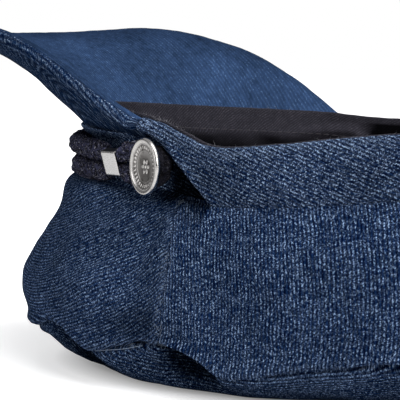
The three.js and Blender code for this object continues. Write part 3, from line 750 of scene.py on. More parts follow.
def gather_in(points, shrink):
    """Points drawn towards the cap's middle line by a share of their distance from it."""
    return points * np.concatenate([1 - shrink, 1 - shrink, np.ones_like(shrink)], -1)


# Hollows and ridges below the seam: distance round the band and down from the seam for both
# ends, then width and height
TOP_FOLDS = [
    ((66, 6), (84, 8), 4.5, -1.5), ((110, 6), (124, 8), 5.0, -2.0), ((94, 5), (103, 9), 4.0, 0.9),
    ((150, 6), (190, 9), 4.0, -0.8), ((20, 6), (44, 9), 5.0, -0.8),
]

top_angles = np.linspace(0, 360, TOP_COLUMNS, endpoint=False)
top_alongs = spaced(TOP_START, 6, 0.05, 0.02, 0.1)
angle, along, out, up, n_out, n_up, shrink = dish_grid(top_angles, top_alongs, FLAT_ROWS)
u, v = girth(angle), run_along(out, up)
off_flat = ease(up / 3)
push = 0.45 * crumple(u, v, 21, 10, 45) + 0.1 * crumple(u, v, 22, 4, 10)
push += sum(fold(u, v, *one) for one in TOP_FOLDS)
push += seam(v + 0.4, u, 0.9, 23) - tucked(angle, v)
push *= off_flat
back = push - CLOTH_THICKNESS
outer = place(angle, out + push * n_out, np.maximum(up + push * n_up, 0))
inner = place(angle, out + back * n_out, np.maximum(up + back * n_up, CLOTH_THICKNESS))
outer, inner = gather_in(outer, shrink), gather_in(inner, shrink)
from_middle = np.linalg.norm(outer[..., :2], axis=-1, keepdims=True)
spread = from_middle[len(from_middle) - FLAT_ROWS] + (v[-1] - v)[..., None] * (shrink == 0)
spread = np.where(shrink == 0, spread, from_middle)
cloth = outer[..., :2] / from_middle * spread
cloth = np.concatenate([cloth[..., 1:], cloth[..., :1], 0 * from_middle], -1)
top_denim = woven("top_denim", (0.0001, 0.0018, 0.012), (0.003, 0.0182, 0.07), (0.27, 0.39, 0.61),
                  specks=0.78, yarn=0.31)
# Paler along the seam and on the swell behind the button; painted shade in and near the tucks, under the
# hem's overhang
worn = 0.3 * bell(v - 1.6, 1.1) - 0.4 * tucked(angle, v)
worn -= 0.75 * bell(angle - 47, 6.5) * ease((26 - v) / 9)
worn -= 0.35 * bell(angle - 72, 9) * ease((14 - v) / 8)
worn += 0.3 * ease((angle - 86) / 6) * ease((140 - angle) / 20) * bell(v, 9)
top_piece = closed_round("top_piece", outer, inner, cloth=cloth, worn=np.maximum(worn, -0.9))
finish_piece(top_piece, top_denim, "denim", "crown_top")

# Band
# A doubled strip of denim, cut on its own grain and joined at the back, stands round the head
# opening. The cord and the buttons pull it in, so it buckles behind each button.
BAND_THICKNESS = 2.0
PEAK_CORNER_ANGLE = 60
PEAK_UNDER_THICKNESS = 1.5
PEAK_OUTER_THICKNESS = 1.7
PEAK_SEAT = PEAK_UNDER_THICKNESS + PEAK_OUTER_THICKNESS + 2.0
BAND_LEAN = math.radians(22)
BACK_JOIN = 180.0
FINE_FROM, FINE_TO = 45, 120

# Angle at which the band's top is whole again behind the peak, and over how many degrees
CUT_END = PEAK_CORNER_ANGLE + 0.75
CUT_FADE = 0.6

# Soft waves of the band: distance round it and down from its rim for both ends, width, height
BAND_FOLDS = [
    ((128, 12), (158, 5), 3.5, 0.7), ((132, 5), (150, 3), 3.0, -0.4), ((170, 9), (215, 7), 4.0, -0.5),
    ((190, 3), (240, 4), 4.0, 0.4), ((60, 8), (90, 10), 4.0, 0.3),
]


def rim(angle):
    """Height of the band's rim at each angle."""
    return around(BAND, 1, angle)


def band_cut(angle):
    """Share of the band's height that is cut away at its top, where the peak is sewn on."""
    lowered = PEAK_SEAT * ease((CUT_END - from_front(angle)) / CUT_FADE)
    return lowered / (rim(angle) - around(BAND, 2, angle))


def band_angles(fine, coarse):
    """Angles from join to join, finer over the cap's right side, which shows most."""
    return np.unique(np.concatenate([
        np.linspace(-BACK_JOIN, FINE_FROM, int((FINE_FROM + BACK_JOIN) / coarse)),
        np.linspace(FINE_FROM, FINE_TO, int((FINE_TO - FINE_FROM) / fine)),
        np.linspace(FINE_TO, BACK_JOIN, int((BACK_JOIN - FINE_TO) / coarse)),
        *[side * np.linspace(CUT_END - CUT_FADE, CUT_END, 5) for side in (-1, 1)]]))


angle, share = np.meshgrid(band_angles(0.4, 0.75), spaced(0, 1, 0.035, 0.012, 0.08))
cut = band_cut(angle)
fraction = cut + (1 - cut) * share
base = around(BAND, 2, angle)
up = rim(angle) + (base - rim(angle)) * fraction
u, v = girth(angle), rim(angle) - up
push = 0.28 * crumple(u, v, 31, 14, 50) + 0.08 * crumple(u, v, 32, 4, 9)
push += sum(fold(np.abs(u), v, *one) for one in BAND_FOLDS)
# The crest over the pulled-in hollow, and the swell over the peak's right corner
crest = around(BAND, 4, angle) - 0.06
pulled = np.clip(around(BAND, 3, angle) / 4, 0, 1)
push += pulled * 0.9 * bell(fraction - crest, 0.12)
push -= cinched(angle, up)
push += 1.5 * bell(up - 68.0, 1.7) * ease((angle - 32) / 12) * ease((66 - angle) / 6)
push *= ease((1.06 - share) / 0.16)
push += 0.35 * np.sin(share * math.pi) * (1 - pulled)
from_join = np.minimum(u - u[0, 0], u[0, -1] - u)
push += seam(from_join, v, 0.5, 33)
out = push - pulled_in(angle, fraction)
outer = place(angle, out, up)
inner = place(angle, out - BAND_THICKNESS - 0.3 * np.maximum(push, 0), up)
lean_cos, lean_sin = math.cos(BAND_LEAN), math.sin(BAND_LEAN)
cloth = np.stack([lean_cos * u - lean_sin * up, lean_sin * u + lean_cos * up, 0 * u], -1)
worn = 0.75 * bell(v, 1.6) * (cut < 0.05) + 0.4 * pulled * bell(fraction - crest, 0.07)
# Painted highlight along the top of the roll under the peak
worn += 0.45 * bell(up - 67.3, 1.5) * ease((63 - np.abs(angle)) / 8)
# Painted shade in the hollow where the cord pulls the band in, and lower down in the fold beside it
hollow = ease((pulled_in(angle, fraction) - 0.8) / 2) * ease((np.abs(angle) - 61.5) / 3)
worn = worn * (1 - hollow) - 0.97 * hollow
worn -= 0.45 * bell(angle - 74, 3.5) * ease((fraction - 0.1) / 0.5)
band_denim = woven("band_denim", (0.0001, 0.002, 0.014), (0.0043, 0.0222, 0.08), (0.33, 0.45, 0.66),
                   specks=0.92, yarn=0.295)
band = cloth_strip("band_strip", outer, inner, cloth=cloth, worn=worn)
finish_piece(band, band_denim, "denim", "band")

# Peak
# Two layers of denim over a thin board. The outer one faces down here and wraps round the free
# edge, which is worn pale; the under one faces up inside it. Both are sewn to the band.
PEAK_CORNER_HALF_WIDTH = 69.6
PEAK_CORNER_Y = -50.5
PEAK_LENGTH = 98.5
PEAK_ROOT_OUT = -1.9
PEAK_ROOT_SPREAD = 0.3
PEAK_SWELL = 25
PEAK_THICKNESS = 3.5
EDGE_WRAP = 1.7
PEAK_COLUMNS = 231

# The peak's free edge: its height against the sweep from the middle (0) to a corner (90)
PEAK_EDGE = np.array([[0, 94.3], [30, 94.7], [40, 95.5], [50, 96.2], [60, 94.4], [70, 88.8],
                      [80, 79.2], [85, 74.0], [90, 70.2]])


def peak_face(across, out):
    """Upper face of the peak as the cap lies, at a share of the way from the left corner (-1) to
    the right one (1), and of the way from the band's rim to the free edge: it rises steeply
    from the band and flattens outwards, most in the middle."""
    root = place(across * PEAK_CORNER_ANGLE, PEAK_ROOT_OUT, rim(across * PEAK_CORNER_ANGLE))
    sweep = np.radians(across * 90)
    edge_up = through(PEAK_EDGE[:, 0], PEAK_EDGE[:, 1], np.abs(across) * 90)
    # The left side's edge rises a little on its way to the corner and drops at it
    edge_up += 1.1 * ease((-across - 0.7) / 0.15) - 1.85 * ease((-across - 0.9) / 0.1)
    edge_up -= 0.9 * ease((-across - 0.97) / 0.03)
    edge = np.stack([
        PEAK_CORNER_HALF_WIDTH * np.sin(sweep), PEAK_CORNER_Y - PEAK_LENGTH * np.cos(sweep), edge_up], -1)
    face = root + (edge - root) * out[..., None]
    face[..., 2] += PEAK_SWELL * out * (1 - out) * (1 - np.abs(across) ** 3)
    return face


def peak_down(across, out):
    """Unit vector into the peak from its upper face: straight down at the band, and square to
    the face farther out."""
    step = 0.01
    s, t = np.clip(across, step - 1, 1 - step), np.clip(out, step, 1 - step)
    along_edge = peak_face(s + step, t) - peak_face(s - step, t)
    away = peak_face(s, t + step) - peak_face(s, t - step)
    down = unit(np.cross(away, along_edge))
    down *= -np.sign(down[..., 2:])
    share = ease(out / PEAK_ROOT_SPREAD)[..., None]
    return unit(down * share + np.array([0, 0, -1.0]) * (1 - share))


def peak_layer(name, top, bottom, inset, worn_share):
    """One layer between two depths, which are functions of the distance from the free edge and
    of the share outwards; its edge lies an inset inside the peak's."""
    even = np.linspace(-1, 1, PEAK_COLUMNS)
    across, out = np.meshgrid((np.sin(even * math.pi / 2) + even) / 2, spaced(0, 1, 0.014, 0.002, 0.03))
    run = np.linalg.norm(peak_face(across, 0 * out + 1) - peak_face(across, 0 * out), axis=-1)
    out = out * (1 - np.minimum(inset / run, 0.3))
    from_edge = (1 - out) * run
    face, down = peak_face(across, out), peak_down(across, out)
    u, v = face[..., 0], face[..., 1]
    push = 0.35 * crumple(u, v, 41, 30, 90) * ease(out / 0.2) + 0.05 * crumple(u, v, 42, 3, 7)
    upper = face + down * (top(from_edge) - push)[..., None]
    lower = face + down * (bottom(from_edge, out) - push)[..., None]
    cloth = np.stack([0.25 * u + 0.97 * v, 0.97 * u - 0.25 * v, 0 * u], -1)
    worn = worn_share * bell(np.maximum(from_edge - inset, 0), 2.2)
    worn *= 0.4 + 0.6 * ease((np.abs(across) - 0.85) / 0.06)
    # Painted shade: the outer layer, which has no inset, is darkened, most towards the right corner, and so
    # is the under one far out
    if inset == 0:
        worn -= 0.25 + 0.2 * ease((across - 0.88) / 0.06)
    else:
        worn -= 0.4 * ease((out - 0.3) / 0.6)
    return cloth_strip(name, upper, lower, cloth=cloth, worn=worn)


def under_depth(from_edge):
    """Depth of the under piece's hidden side: it thins towards its edge, inside the wrap."""
    return 0.5 + (PEAK_UNDER_THICKNESS - 0.4) * ease((from_edge - EDGE_WRAP) / 1.5)


peak_under_denim = woven("peak_under_denim", (0.0225, 0.046, 0.106), (0.033, 0.066, 0.148),
                         (0.1, 0.17, 0.31), specks=0.3, mottle=0.28, relief=0.00003)
peak_outer_denim = woven("peak_outer_denim", (0.0005, 0.006, 0.028), (0.0055, 0.026, 0.082),
                         (0.36, 0.48, 0.68), specks=0.4, yarn=0.31, relief=0.00005)
peak_under = peak_layer(
    "peak_under_cloth", lambda from_edge: 0 * from_edge,
    lambda from_edge, out: under_depth(from_edge), EDGE_WRAP, 0.15)
finish_piece(peak_under, peak_under_denim, "peak_denim", "peak_under")
peak_outer = peak_layer(
    "peak_outer_cloth",
    lambda from_edge: (under_depth(from_edge) + 0.12) * ease((from_edge - EDGE_WRAP + 0.55) / 0.2),
    lambda from_edge, out: PEAK_THICKNESS + 1.2 * (1 - ease(out / PEAK_ROOT_SPREAD)), 0.0, 0.85)
finish_piece(peak_outer, peak_outer_denim, "denim", "peak_outer")

# Sweatband
# A soft grey cotton strip turned in over the rim and held by one row of stitches. It stands a
# little above the denim, where its cut edge frays.
SWEATBAND_OUT = 2.35
SWEATBAND_THICKNESS = 0.9
SWEATBAND_HEIGHT = 27
SWEATBAND_RISE = 0.8
STITCH_DROP = 6.0
STITCH_PITCH = 2.8
STITCH_LENGTH = 2.0
STITCH_RADIUS = 0.16


def sweatband_face(angle, down):
    """Points of the side that faces the head, and how far the band draws them in. Puckers
    push them farther: slow waves that grow towards the free lower edge."""
    u = girth(angle)
    up = rim(angle) - down
    below = np.maximum(down - STITCH_DROP, 0)
    pucker = 0.25 * crumple(u, down * 0.3, 51, 9, 40) * ease(below / 5) * (0.6 + below / 14)
    pucker += 0.14 * crumple(u, down, 52, 4, 12) + 0.3 * bell(down - 3, 1.8)
    pucker += 0.7 * crumple(u, 1.5 * down, 53, 14, 40) * ease(down / 8)
    pucker -= 0.35 * bell(down - STITCH_DROP, 0.8)
    fraction = down / (rim(angle) - around(BAND, 2, angle))
    drawn_in = pulled_in(angle, np.clip(fraction, 0, 1)) + cinched(angle, up)
    return place(angle, -SWEATBAND_OUT - drawn_in - SWEATBAND_THICKNESS - pucker, up), drawn_in


sweatband_rows = spaced(-SWEATBAND_RISE, SWEATBAND_HEIGHT, 0.8, 0.3, 1.2)
angle, down = np.meshgrid(band_angles(0.6, 0.9), sweatband_rows)
inner, drawn_in = sweatband_face(angle, down)
outer = place(angle, -SWEATBAND_OUT - drawn_in, rim(angle) - down)
u = girth(angle)
cloth = np.stack([0.82 * u - 0.57 * down, 0.57 * u + 0.82 * down, 0 * u], -1)
worn = 0.8 * bell(np.maximum(down + SWEATBAND_RISE, 0), 0.9)
# Painted shade: the far side behind the slide, and the sweatband's lower depth, are darkened
wavy_angle = angle + 0.6 * crumple(u, down, 54, 3, 12)
far_side_shade = ease((-wavy_angle - 63.5) / 2) * ease((wavy_angle + 88) / 10) * ease((down - 0.2) / 0.8)
shade_from = 4.5 - 3 * ease((-angle - 72) / 14)
shade = ease((down - shade_from) / 4) * (0.68 + 0.3 * crumple(u, 2 * down, 55, 8, 30))
worn = np.maximum(worn * (1 - far_side_shade) - 0.95 * far_side_shade - shade, -1)
sweatband_cotton = woven("sweatband_cotton", (0.021, 0.02, 0.0255), (0.041, 0.039, 0.051),
                         (0.12, 0.116, 0.14), specks=0.3, mottle=0.15, yarn=0.2, relief=0.00006, sheen=0.05)
sweatband = cloth_strip("sweatband_strip", outer, inner, cloth=cloth, worn=worn)
finish_piece(sweatband, sweatband_cotton, "sweatband_cotton", "sweatband")


def tubes(paths, radii, sides, across, flat=1.0, closed=False):
    """Round threads along paths. Each ring's points lie off the path by its radius along the
    given direction, times flat, and by its radius square to that and to the path."""
    if closed:
        ahead = np.roll(paths, -1, axis=1) - np.roll(paths, 1, axis=1)
    else:
        ahead = np.gradient(paths, axis=1)
    ahead = unit(ahead)
    across = np.broadcast_to(across, paths.shape)
    across = unit(across - ahead * np.sum(across * ahead, -1, keepdims=True))
    beside = np.cross(ahead, across)
    turn = np.linspace(0, 2 * math.pi, sides, endpoint=False)[:, None]
    radii = np.broadcast_to(radii, paths.shape[:2])[..., None, None]
    points = paths[:, :, None] + radii * (
        flat * np.cos(turn) * across[:, :, None] + np.sin(turn) * beside[:, :, None])
    count, rings = paths.shape[:2]
    one = quads(rings, sides, round_rows=closed, round_columns=True)
    first = np.arange(count)[:, None, None] * rings * sides
    faces = [(one[None] + first).reshape(-1, 4)]
    if not closed:
        ends = np.stack([np.arange(sides)[::-1], np.arange(sides) + (rings - 1) * sides])
        faces.append((ends[None] + first).reshape(-1, sides))
    return points.reshape(-1, 3), faces


def thread_cotton(name, colour, rough=0.85):
    """Spun thread: one colour, mottled finely on its object coordinates."""
    material, n, shader = start_material(name, {"Roughness": rough, "Specular IOR Level": 0.2})
    here = n.add("TexCoord").outputs["Object"]
    speckle = n.span(n.noise(here, 1600), 0.3, 0.7, 0.6, 1.3, smooth=False)
    n.feed(shader.inputs["Base Color"], n.vector("SCALE", colour, speckle))
    return material


stitch_count = int(girth(360) / STITCH_PITCH)
middles = (np.arange(stitch_count) + 0.5) * girth(360) / stitch_count
middles = np.interp(middles, ELLIPSE_LENGTHS, ELLIPSE_ANGLES)
turn_per_mm = np.gradient(middles) / STITCH_PITCH
reach = np.linspace(-0.5, 0.5, 6)
stitch_angle = middles[:, None] + turn_per_mm[:, None] * STITCH_LENGTH * reach
stitch_line, _ = sweatband_face((stitch_angle + 180) % 360 - 180, STITCH_DROP + 0.12 * reach[None])
inwards = -np.concatenate([outward(stitch_angle), 0 * stitch_angle[..., None]], -1)
stitch_line += inwards * (0.2 - 0.9 * np.abs(reach[None]) ** 1.6)[..., None]
points, faces = tubes(stitch_line, STITCH_RADIUS * (1.1 - np.abs(reach) ** 2), 6, np.array([0, 0, 1.0]))
sweatband_stitches = make_piece("sweatband_stitches", points, faces)
finish_piece(sweatband_stitches, thread_cotton("grey_thread", (0.05, 0.047, 0.055)), "sweatband_cotton")

# Lining
# A loose bag of thin dark cotton hangs from under the sweatband inside the crown. It is gathered
# at its top and drawn into small pleats, and its round bottom piece is seamed on.
LINING_GAP = 0.8
LINING_THICKNESS = 0.9
LINING_COLUMNS = 420
LINING_FLAT_ROWS = 40
GATHERS = 62
SEAM_ALONG = 4

lining_angles = np.linspace(0, 360, LINING_COLUMNS, endpoint=False)
lining_alongs = spaced(0.16, 6, 0.1, 0.05, 0.2)
angle, along, out, up, n_out, n_up, shrink = dish_grid(lining_angles, lining_alongs, LINING_FLAT_ROWS)
u, v = girth(angle), run_along(out, up)
# It keeps clear of the crown, and of the hollows and tucks on either side of the lower seam
row = np.searchsorted(lining_alongs, SEAM_ALONG)
part = (SEAM_ALONG - lining_alongs[row - 1]) / (lining_alongs[row] - lining_alongs[row - 1])
from_top_seam = v - v[row - 1] - part * (v[row] - v[row - 1])
near_tuck = np.where(from_top_seam < 0, 0.8, 1) * np.minimum(np.abs(from_top_seam), 40)
hollows = sum(np.minimum(fold(u, from_top_seam, *one), 0) for one in TOP_FOLDS)
settled = CLOTH_THICKNESS + LINING_GAP + ease(up / 3) * (tucked(angle, near_tuck) - hollows)
wander = 0.5 * crumple(u, v, 61, 18, 60)
pleat = np.sin(2 * math.pi * GATHERS * angle / 360 + 2.4 * wander)
inwards = 0.9 * ease(v / 6) * (0.25 + 0.75 * np.exp(-v / 30)) * (0.5 + 0.5 * pleat) ** 1.5
inwards += 1.4 * ease(v / 20) * (0.5 + 0.5 * crumple(u, v, 62, 20, 70))
rows_in = shrink[..., 0]
flat_x, flat_y = (100 * (1 - rows_in) * wave(np.radians(angle)) for wave in (np.cos, np.sin))
inwards += 0.9 * ease(rows_in / 0.1) * (0.5 + 0.5 * crumple(flat_x, flat_y, 63, 12, 60))
inwards = np.maximum(inwards, 0) + 0.3 * bell(rows_in - 0.12, 0.02)


def lining_face(depth):
    """Points of the lining at a depth inside the crown's outer face."""
    return gather_in(place(angle, out - depth * n_out, np.maximum(up - depth * n_up, depth)), shrink)


outer = lining_face(settled + inwards)
inner = lining_face(settled + LINING_THICKNESS + inwards)
lining_cloth = woven("lining_cloth", (0.008, 0.007, 0.009), (0.022, 0.02, 0.026), (0.06, 0.055, 0.065),
                     specks=0.3, mottle=0.25, yarn=0.18, relief=0.00005, sheen=0.08)
lining = closed_round("lining_bag", inner, outer, cloth=inner, worn=0 * v)
finish_piece(lining, lining_cloth, "lining_cloth", "lining")

# Braided cord
# One closed loop of 5.5 mm woollen braid, eight strands over a core. It runs twice over the front
# of the band, through the slides, and round the shank of the button on either side.
STRANDS_EACH_WAY = 4
BRAID_PERIOD = 11.5
STRAND_RADIUS = 0.92
STRAND_FLATNESS = 0.72
STRAND_SINK = 0.68
STRAND_WEAVE = 0.24
STRAND_SIDES = 7
CORE_SHARE = 0.62
CORD_RINGS = 900

# Right half of the cord's loop, from the middle of the front round the button and back: angle,
# height and standoff of its middle line, half its depth and half its height
CORD = np.array([
    [0, 62.6, 0.0, 2.3, 2.75], [10, 62.6, 0.0, 2.3, 2.75], [20, 62.4, 0.0, 2.3, 2.75],
    [30, 62.2, 0.1, 2.3, 2.75], [38, 62.0, 0.5, 2.3, 2.7], [45, 61.6, 1.2, 2.3, 2.6],
    [50.6, 61.1, 1.9, 2.2, 2.3], [52.7, 59.9, 2.0, 1.15, 1.05], [54.4, 59.9, 2.0, 1.15, 1.05],
    [56.1, 59.9, 2.0, 1.15, 1.05], [57.9, 61.5, 1.9, 2.3, 2.5], [60.6, 62.3, 0.7, 2.2, 2.4],
    [63.6, 61.6, 0.0, 2.0, 2.3], [65.2, 60.4, 0.0, 2.0, 2.3], [65.8, 58.2, 0.0, 2.0, 2.3],
    [65.2, 56.0, -0.2, 2.0, 2.3], [63.6, 54.8, -0.2, 2.0, 2.3], [60.8, 54.6, 0.0, 2.1, 2.4],
    [58.0, 55.7, 1.0, 2.2, 2.4], [56.1, 57.2, 1.3, 1.15, 1.05], [54.4, 57.2, 1.3, 1.15, 1.05],
    [52.7, 57.2, 1.3, 1.15, 1.05], [50.4, 56.1, 1.2, 2.2, 2.3], [45, 55.8, 0.7, 2.2, 2.6],
    [38, 55.9, 0.0, 2.1, 2.7], [30, 56.1, -0.5, 2.1, 2.75], [20, 56.3, -0.6, 2.1, 2.75],
    [10, 56.6, -0.6, 2.1, 2.75], [0, 56.6, -0.6, 2.1, 2.75],
])

left_half = CORD[-2:0:-1] * np.array([-1, 1, 1, 1, 1])
cord_rows = np.concatenate([CORD, left_half])
cord_middle = place(cord_rows[:, 0], cord_rows[:, 2], cord_rows[:, 1])
steps = np.linalg.norm(np.roll(cord_middle, -1, axis=0) - cord_middle, axis=1)
cord_length = steps.sum()
marks = np.concatenate([[0], np.cumsum(steps)])
round_places = np.concatenate([marks[-3:-1] - cord_length, marks, marks[1:3] + cord_length])


def along_cord(values, distance):
    """A row value of the cord at a distance along its loop: the closed cubic through the rows."""
    looped = np.concatenate([values[-2:], values, values[:3]])
    return through(round_places, looped, distance % cord_length)


distance = np.linspace(0, cord_length, CORD_RINGS, endpoint=False)
middle = np.stack([along_cord(cord_middle[:, k], distance) for k in range(3)], -1)
row_out = outward(cord_rows[:, 0])
cord_out = np.stack([*[along_cord(row_out[:, k], distance) for k in range(2)], 0 * distance], -1)
half_depth, half_height = along_cord(cord_rows[:, 3], distance), along_cord(cord_rows[:, 4], distance)
ahead = unit(np.roll(middle, -1, axis=0) - np.roll(middle, 1, axis=0))
cord_out = unit(cord_out - ahead * np.sum(cord_out * ahead, -1, keepdims=True))
cord_up = np.cross(ahead, cord_out)


def on_cord(turn, share):
    """Points at a turn round the cord's middle line, a share of the way to its oval outside."""
    return (middle + (share * half_depth * np.cos(turn))[..., None] * cord_out
            + (share * half_height * np.sin(turn))[..., None] * cord_up)


plaits = round(cord_length / BRAID_PERIOD)
phase = 2 * math.pi * plaits * distance / cord_length
over = STRAND_WEAVE * np.cos(4 * phase - math.pi / 2)
loose = np.minimum(half_height / 2.3, 1)
strand_paths, strand_ways = [], []
for k in range(STRANDS_EACH_WAY):
    for way in (1, -1):
        turn = way * phase + k * math.pi / 2 + (way < 0) * math.pi / 4
        strand_paths.append(on_cord(turn, STRAND_SINK + way * over * 0.6))
        strand_ways.append(on_cord(turn, 1.0) - middle)
random = np.random.default_rng(70)
tufted = random.normal(0, 0.2, (len(strand_paths), CORD_RINGS))
strand_radius = STRAND_RADIUS * (0.45 + 0.55 * loose) * (1 + (tufted + np.roll(tufted, 1, axis=1)) * loose)
points, faces = tubes(np.array(strand_paths), strand_radius, STRAND_SIDES, np.array(strand_ways),
                      STRAND_FLATNESS, closed=True)
strand_count = len(strand_paths)
along_strand = np.broadcast_to(distance[None, :, None], (strand_count, CORD_RINGS, STRAND_SIDES))
round_strand = np.broadcast_to(np.arange(STRAND_SIDES) * 0.8, along_strand.shape)
strand_number = np.broadcast_to(np.arange(strand_count)[:, None, None] * 10.0, along_strand.shape)
core_radius = CORE_SHARE * np.minimum(half_depth, half_height)
core_points, core_faces = tubes(middle[None], core_radius, 8, cord_out[None], closed=True)
faces = [np.concatenate([faces[0], core_faces[0] + len(points)])]
behind_button = ease((np.abs(along_cord(cord_rows[:, 0], distance)) - 62) / 2.5)
worn = np.broadcast_to(-behind_button[None, :, None], along_strand.shape).reshape(-1)
cloth = np.stack([along_strand, round_strand, strand_number], -1).reshape(-1, 3)
cloth = np.concatenate([cloth, np.zeros_like(core_points)])
worn = np.concatenate([worn, np.zeros(len(core_points))])
braid = make_piece("cord_braid", np.concatenate([points, core_points]), faces, cloth=cloth, worn=worn)

cord_wool, n, shader = start_material("cord_wool", {
    "Roughness": 0.95, "Specular IOR Level": 0.08, "Sheen Weight": 0.06, "Sheen Roughness": 0.5,
    "Sheen Tint": (0.55, 0.52, 0.65, 1)})
here = n.add("TexCoord").outputs["Object"]
hairs = n.noise(n.vector("MULTIPLY", n.attribute("cloth", "Vector"), (0.9, 2.2, 1.0)), 1.3, 3.0, 0.7)
tufts = n.noise(here, 850, 3.0, 0.8)
lint = n.math("GREATER_THAN", n.noise(here, 1900, 2.0, 0.6), 0.61)
tone = n.times(n.span(hairs, 0.38, 0.62, 0.3, 1.3), n.span(tufts, 0.44, 0.58, 0.06, 1.7))
wool = n.mix(tone, (0.001, 0.001, 0.002, 1), (0.066, 0.071, 0.145, 1))
wool = n.mix(n.times(lint, 0.75), wool, (0.46, 0.46, 0.56, 1))
# Painted shade: the braid behind the button is darkened
painted_loop_shade = n.span(n.attribute("worn"), -1.0, 0.0, 0.16, 1.0)
n.feed(shader.inputs["Base Color"], n.vector("SCALE", wool, painted_loop_shade))
add_relief(n, shader, n.math("ADD", hairs, tufts), 0.002)
finish_piece(braid, cord_wool, "cord_braid", "braided_cord")


def loose_fibres(name, roots, ways, lengths, radius, curl, seed, rings=5):
    """Short fibres: each leaves its root along its way and bends to one side, with a bend that
    grows with the square of the distance, and tapers to its tip. Three sides each."""
    random = np.random.default_rng(seed)
    side = unit(np.cross(ways, random.normal(size=ways.shape)))
    other = np.cross(ways, side)
    t = np.linspace(0, 1, rings)[None, :, None]
    bend = curl * random.uniform(0.3, 1, (len(roots), 1, 1))
    swing = random.uniform(-1, 1, (len(roots), 1, 1)) * curl
    paths = roots[:, None] + lengths[:, None, None] * (
        t * ways[:, None] + bend * t**2 * side[:, None] + swing * np.sin(3 * t) * t * other[:, None] * 0.5)
    points, faces = tubes(paths, radius * (1.15 - t[..., 0]), 3, random.normal(size=(len(roots), 1, 3)))
    return make_piece(name, points, faces)


WOOL_FIBRES = 4200
random = np.random.default_rng(71)
picks = random.integers(0, CORD_RINGS, WOOL_FIBRES)
turn = random.uniform(0, 2 * math.pi, WOOL_FIBRES)
outside = (half_depth[picks] * np.cos(turn))[:, None] * cord_out[picks] + (
    half_height[picks] * np.sin(turn))[:, None] * cord_up[picks]
roots = middle[picks] + 0.8 * outside
ways = unit(unit(outside) + random.normal(0, 0.8, (WOOL_FIBRES, 3)))
lengths = random.uniform(0.4, 1.2, WOOL_FIBRES) * np.where(half_height[picks] > 1.6, 1, 0.4)
wool_fuzz = loose_fibres("cord_fuzz", roots, ways, lengths, 0.035, 0.8, 72, rings=4)
finish_piece(wool_fuzz, thread_cotton("wool_fibre", (0.03, 0.029, 0.045), 0.95), "cord_braid")

# Cord slides
# A flat sleeve of polished nickel silver grips both strands of the cord in front of each button.
# It is bent from strip, with its rims rounded over.
SLIDE_ANGLE, SLIDE_UP, SLIDE_OUT, SLIDE_LEAN = 54.4, 58.7, 2.0, math.radians(16)
SLIDE_DEPTH, SLIDE_HEIGHT, SLIDE_WALL, SLIDE_LENGTH, SLIDE_CORNER = 3.3, 7.0, 0.4, 7.0, 0.7


def facing(side, angle, turn=0.0):
    """Three unit vectors of a fitting on the band: sideways, up, and out of the cap."""
    heading = math.atan2(*outward(side * angle)[::-1]) - side * math.radians(turn)
    out = np.array([math.cos(heading), math.sin(heading), 0.0])
    up = np.array([0.0, 0.0, 1.0])
    return np.cross(up, out), up, out


def slide_points(side):
    """A rounded rectangle round the sleeve, carried along its length outside and back inside,
    with a half circle over each rim."""
    turn = np.linspace(0, 2 * math.pi, 96, endpoint=False)
    quarter = np.floor(turn / (math.pi / 2) + 1e-9)
    x_sign = np.where((quarter == 0) | (quarter == 3), 1, -1)
    y_sign = np.where(quarter < 2, 1, -1)
    half = SLIDE_WALL / 2
    rim_turn = np.linspace(0, math.pi, 7)[1:-1]
    straight = np.linspace(-1, 1, 9)
    reach = SLIDE_LENGTH / 2 - half
    length = np.concatenate([reach * straight, reach + half * np.sin(rim_turn),
                             -reach * straight, -reach - half * np.sin(rim_turn)])
    sunk = np.concatenate([0 * straight, half - half * np.cos(rim_turn),
                           0 * straight + SLIDE_WALL, half + half * np.cos(rim_turn)])
    radius = SLIDE_CORNER - sunk[:, None]
    belly = 0.04 * np.cos(length / reach * math.pi / 2)[:, None] * (sunk[:, None] < half)
    x = x_sign * (SLIDE_DEPTH / 2 - SLIDE_CORNER) + radius * np.cos(turn) + belly * np.cos(turn)
    y = y_sign * (SLIDE_HEIGHT / 2 - SLIDE_CORNER) + radius * np.sin(turn)
    sideways, up, out = facing(side, SLIDE_ANGLE)
    deep = out * math.cos(SLIDE_LEAN) - up * math.sin(SLIDE_LEAN)
    high = up * math.cos(SLIDE_LEAN) + out * math.sin(SLIDE_LEAN)
    points = x[..., None] * deep + y[..., None] * high + length[:, None, None] * sideways
    # Painted shade: the sleeve's top and bottom sides are darkened
    tarnish = np.broadcast_to(ease((np.abs(y) - SLIDE_HEIGHT / 2 + 0.3) / 0.25), points.shape[:2])
    return points + place(side * SLIDE_ANGLE, SLIDE_OUT, SLIDE_UP), tarnish


def metal(name, bright, dull, roughness, smudges):
    """Worn polished metal: fine scratches and smudges change its roughness, and the colour darkens
    where the piece's attribute says: tarnish in the button's hollows, painted shade on the slides' top and
    bottom sides."""
    material, n, shader = start_material(name, {"Metallic": 1.0})
    here = n.add("TexCoord").outputs["Object"]
    smudge = n.noise(here, 420, 3.0, 0.6)
    scratch = n.noise(n.vector("MULTIPLY", here, (1.0, 1.0, 9.0)), 900, 2.0, 0.6)
    share = n.math("ADD", n.attribute("tarnish"), n.span(smudge, 0.45, 0.8, 0.0, smudges), clamp=True)
    scratched = n.span(scratch, 0.3, 0.7, roughness * 0.7, roughness * 1.4, smooth=False)
    n.feed(shader.inputs["Base Color"], n.mix(share, (*bright, 1), (*dull, 1)))
    n.feed(shader.inputs["Roughness"], n.line(share, 0.25, scratched))
    add_relief(n, shader, scratch, 0.00002)
    return material


slide_nickel = metal("slide_nickel", (0.68, 0.67, 0.66), (0.05, 0.05, 0.055), 0.24, 0.03)
SIDES = ((1, "right"), (-1, "left"))
for side, side_name in SIDES:
    points, tarnish = slide_points(side)
    faces = [quads(*points.shape[:2], round_rows=True, round_columns=True)]
    slide = make_piece("nickel_slide_" + side_name, points, faces, tarnish=tarnish)
    finish_piece(slide, slide_nickel, "polished_steel", "slide_" + side_name)

